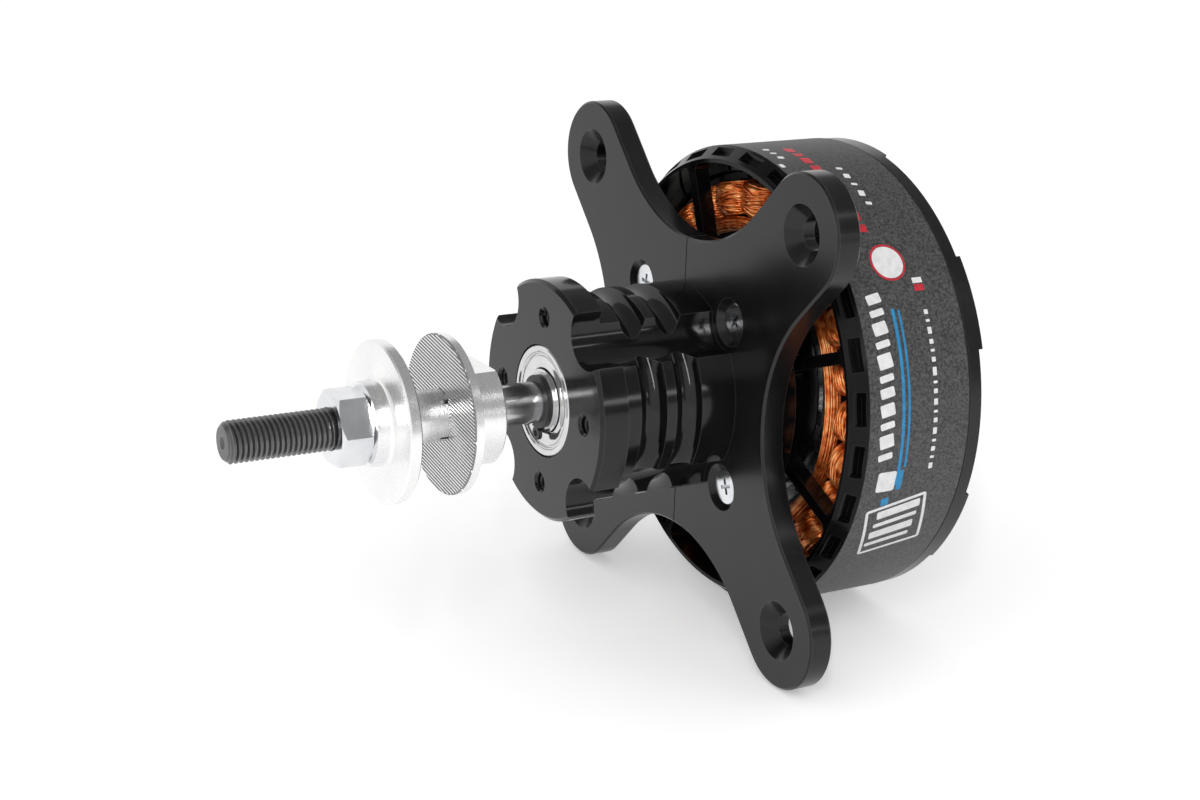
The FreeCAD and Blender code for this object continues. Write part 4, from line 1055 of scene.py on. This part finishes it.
@dataclass
class LabelPrint:
    """Plain bars, dots and frames in three inks on the can's label.

    The flat drawing is cut every cut_step degrees between its ends, so that it bends smoothly.
    """

    radius: float = 46.2
    thickness: float = 0.015
    cut_ends: tuple[int, int] = (-44, 96)
    cut_step: int = 2
    round_corner: float = 1.0

    def build(self, shop: PaintShop) -> None:
        """Print the marks of each ink."""
        for ink, finish, marks in (("white", WHITE_INK, self.white()),
                                   ("red", RED_INK, self.red()), ("blue", BLUE_INK, self.blue())):
            shop.fit(self.printed(f"label_print_{ink}", marks), Part.ROTOR, finish)

    def row(self, start: float, end: float, place: float, width: float,
            lengths: tuple[float, ...], corner: float = 0.2, lean: float = 0.0) -> list[Mark]:
        """Space marks of given lengths evenly in a row round the can.

        Args:
            start: degrees where the row starts.
            end: degrees where it ends.
            place: place along the shaft.
            width: the marks' width along the shaft.
            lengths: each mark's length round the can.
            corner: the corners' rounding.
            lean: the marks' lean in degrees.

        Returns:
            The row's marks.
        """
        room = abs(math.radians(end - start)) * self.radius - sum(lengths)
        gap = room / max(len(lengths) - 1, 1)
        sign = 1 if end > start else -1
        marks, walked = [], 0.0
        for length in lengths:
            middle = start + sign * math.degrees((walked + length / 2) / self.radius)
            marks.append(Mark(middle, place, length, width, corner, lean))
            walked += length + gap
        return marks

    def white(self) -> list[Mark]:
        """Give the white marks: heavy bars, fine dashes, a disc, a block and a framed field."""
        bars = (1.9, 1.3, 2.4, 1.3, 2.8, 1.3, 1.9, 2.4, 1.3, 2.6, 1.3)
        dashes = (0.9, 0.5, 1.3, 0.9, 0.5, 0.9, 1.6, 0.5, 0.9, 1.2, 0.5, 0.9, 1.3, 0.5, 0.9, 0.5,
                  1.2)
        return [*self.row(34, -5, -11.6, 3.2, bars, 0.3, 10),
                *self.row(29, -9, -22.6, 0.9, dashes, 0.1),
                *self.row(73, 58, -20.0, 1.3, (0.8, 1.5, 0.7, 1.6, 0.8), 0.15, -14),
                *self.row(88, 80, -10.7, 1.3, (1.2, 0.8, 1.2), 0.15, -14),
                Mark(76.0, -8.6, 1.5, 1.0, 0.3), Mark(41.4, -17.4, 6.6, 6.6, 3.2),
                Mark(36.2, -22.5, 1.1, 2.2, 0.15), Mark(-10.8, -12.8, 4.2, 4.2, 0.5),
                Mark(-24.5, -17.8, 12.4, 13.6, 0.6, 12, 0.65),
                *self.row(-18.2, -29.6, -17.6, 9.6, (1.9, 1.0, 1.9, 1.0), 0.3, 12)]

    def red(self) -> list[Mark]:
        """Give the red marks: a row of blocks, the disc's rim and a small tab."""
        blocks = (2.6, 1.6, 2.6, 2.3, 1.4, 2.6, 2.3, 1.6, 2.3, 1.8)
        return [*self.row(87, 50, -15.2, 2.0, blocks, 0.3, -8),
                Mark(41.4, -17.4, 7.6, 7.6, 3.7, 0, 0.45), Mark(34.4, -22.5, 1.3, 2.2, 0.15)]

    def blue(self) -> list[Mark]:
        """Give the blue marks: two long lines and two small tabs."""
        return [Mark(9, -15.2, 34.0, 0.7, 0.3), Mark(11, -16.5, 30.0, 0.5, 0.2),
                Mark(-10.8, -15.9, 4.2, 1.2, 0.3), Mark(-16.4, -13.6, 1.7, 1.7, 0.2, 12)]

    def printed(self, name: str, marks: list[Mark]) -> Object:
        """Draw marks flat, wrap them round the can and give them an ink's thickness.

        Args:
            name: the new piece's name.
            marks: what is drawn.

        Returns:
            The print of one ink.
        """
        sheet = small_plane(name)
        bpy.ops.mesh.delete(type="VERT")
        for mark in marks:
            at = Vector((mark.place, math.radians(mark.turn) * self.radius, 0)) * MM
            bpy.ops.mesh.primitive_plane_add(size=MM, location=at)
            bpy.ops.transform.resize(value=(mark.width, mark.length, 1), center_override=at)
            bpy.ops.mesh.bevel(offset=mark.corner * MM, affect="VERTICES",
                               segments=3 if mark.corner < self.round_corner else 9)
            bpy.ops.transform.rotate(value=math.radians(mark.lean), orient_axis="Z",
                                     center_override=at)
            if mark.line:
                bpy.ops.mesh.inset(thickness=mark.line * MM)
                bpy.ops.mesh.delete(type="FACE")
            select_mesh()
            bpy.ops.mesh.hide(unselected=False)
        bpy.ops.mesh.reveal(select=True)
        for cut in range(*self.cut_ends, self.cut_step):
            arc = math.radians(cut) * self.radius * MM
            select_mesh()
            bpy.ops.mesh.bisect(plane_co=(0, arc, 0), plane_no=(0, 1, 0), threshold=ON_CUT)
        close_mesh()
        for vertex in sheet.data.vertices:
            angle = vertex.co.y / (self.radius * MM)
            vertex.co = (vertex.co.x, self.radius * MM * math.cos(angle),
                         self.radius * MM * math.sin(angle))
        apply_modifier(sheet, "SOLIDIFY", thickness=self.thickness * MM, offset=0.0)
        open_mesh(sheet)
        tidy_mesh()
        return sheet


@dataclass
class Studio:
    """The floor, the lights, the cards and the camera.

    The camera's place and axes, and its lens on a sensor in millimetres, are the fitted ones.
    The clip is in metres.
    """

    floor_slope: float = 6.3
    floor_touch: Triple = (0.0, 0.0, -49.75)
    floor_reach: float = 3000.0
    sheet_cuts: int = 8
    surround: float = 0.7
    distance: float = 520.0
    centre: Triple = (224.233, 350.237, 124.835)
    right: Triple = (-0.872104, 0.488088, 0.034719)
    down: Triple = (0.116882, 0.276691, -0.953824)
    ahead: Triple = (-0.475157, -0.827776, -0.298351)
    lens: float = 65.23
    sensor: float = 36.0
    clip: Pair = (0.01, 50.0)

    def build(self, shop: PaintShop) -> None:
        """Set up the floor, the light and the camera."""
        self.floor(shop)
        self.world()
        self.lamp("tall_strip_by_camera", (0.49, 0.70, 0.52), (30, 320), 20.0)
        self.lamp("high_window", (-0.44, 0.66, 0.60), (90, 40), 4.0)
        self.lamp("low_window", (-0.44, 0.88, 0.16), (90, 34), 4.0)
        self.card(shop, "grey_card_overhead", (0, 0, 560), (1500, 1300))
        self.card(shop, "grey_card_side", (-330, 620, 260), (560, 620))
        self.camera()

    def floor(self, shop: PaintShop) -> None:
        """Lay a wide paper floor that the motor's arms and can rest on."""
        touch = Vector(self.floor_touch) * MM
        floor = self.sheet("studio_floor", (self.floor_reach, self.floor_reach))
        floor.data.transform(Matrix.Translation(touch)
                             @ Matrix.Rotation(math.radians(self.floor_slope), 4, "Y"))
        shop.dress(floor, SWEEP_PAPER)

    def sheet(self, name: str, size: Pair) -> Object:
        """Make a flat sheet in squares, face up at the origin, from its sides in millimetres."""
        sheet = small_plane(name)
        bpy.ops.transform.resize(value=(*size, 1))
        bpy.ops.mesh.subdivide(number_cuts=self.sheet_cuts)
        close_mesh()
        return sheet

    def world(self) -> None:
        """Make a white surround: full white to the eye and in the gloss, softer as light."""
        world = bpy.data.worlds.new("white_surround")
        bpy.context.scene.world = world
        world.use_nodes = True
        tree = world.node_tree
        tree.nodes.clear()
        level = add_node(tree, "MapRange", {
            "Value": looked_at(tree), "To Min": self.surround, "To Max": 1.0})
        sky = add_node(tree, "Background", {"Color": (1, 1, 1, 1), "Strength": level.outputs[0]})
        add_node(tree, "OutputWorld", {"Surface": sky.outputs[0]})

    def lamp(self, name: str, towards: Triple, size: Pair, level: float) -> None:
        """Hang a soft lamp that faces the motor.

        Args:
            name: the lamp's name.
            towards: the direction from the motor to the lamp.
            size: its two sides in millimetres, the second one upright.
            level: the brightness of its face, where 1 is white paper.
        """
        data = bpy.data.lights.new(name, "AREA")
        data.shape = "RECTANGLE"
        data.size, data.size_y = size[0] * MM, size[1] * MM
        data.energy = level * math.pi * data.size * data.size_y
        lamp = bpy.data.objects.new(name, data)
        bpy.context.scene.collection.objects.link(lamp)
        lamp.location = Vector(towards).normalized() * self.distance * MM
        lamp.rotation_euler = (-Vector(towards)).to_track_quat("-Z", "Y").to_euler()
        lamp.visible_camera = False

    def card(self, shop: PaintShop, name: str, place: Triple, size: Pair) -> None:
        """Hang a grey card that faces the motor and shows only in the gloss.

        Args:
            shop: where its finish is made.
            name: the card's name.
            place: its middle, in millimetres.
            size: its two sides in millimetres.
        """
        card = self.sheet(name, size)
        turn = (Vector() - Vector(place)).to_track_quat("Z", "Y").to_matrix().to_4x4()
        card.data.transform(Matrix.Translation(Vector(place) * MM) @ turn)
        shop.dress(card, GREY_CARD)
        card.visible_camera = card.visible_diffuse = card.visible_shadow = False

    def camera(self) -> None:
        """Place the camera where the photograph was taken."""
        data = bpy.data.cameras.new("camera")
        data.lens, data.sensor_width = self.lens, self.sensor
        data.clip_start, data.clip_end = self.clip
        camera = bpy.data.objects.new("camera", data)
        bpy.context.scene.collection.objects.link(camera)
        axes = Matrix((self.right, [-v for v in self.down], [-v for v in self.ahead])).transposed()
        camera.matrix_world = Matrix.Translation(Vector(self.centre) * MM) @ axes.to_4x4()
        bpy.context.scene.camera = camera


def main() -> None:
    """Build the pieces in order, then the studio."""
    logging.basicConfig(level=logging.INFO, format="%(name)s: %(message)s")
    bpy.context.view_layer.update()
    bpy.context.scene.view_settings.view_transform = "Standard"
    shop = PaintShop()
    PackedNodes().dress(shop)
    for assembly in (CrossScrews(), FrontBearing(), HoleThreads(), Winding(), PropAdapter(),
                     LabelPrint()):
        assembly.build(shop)
    Studio().build(shop)


if __name__ == "__main__":
    main()
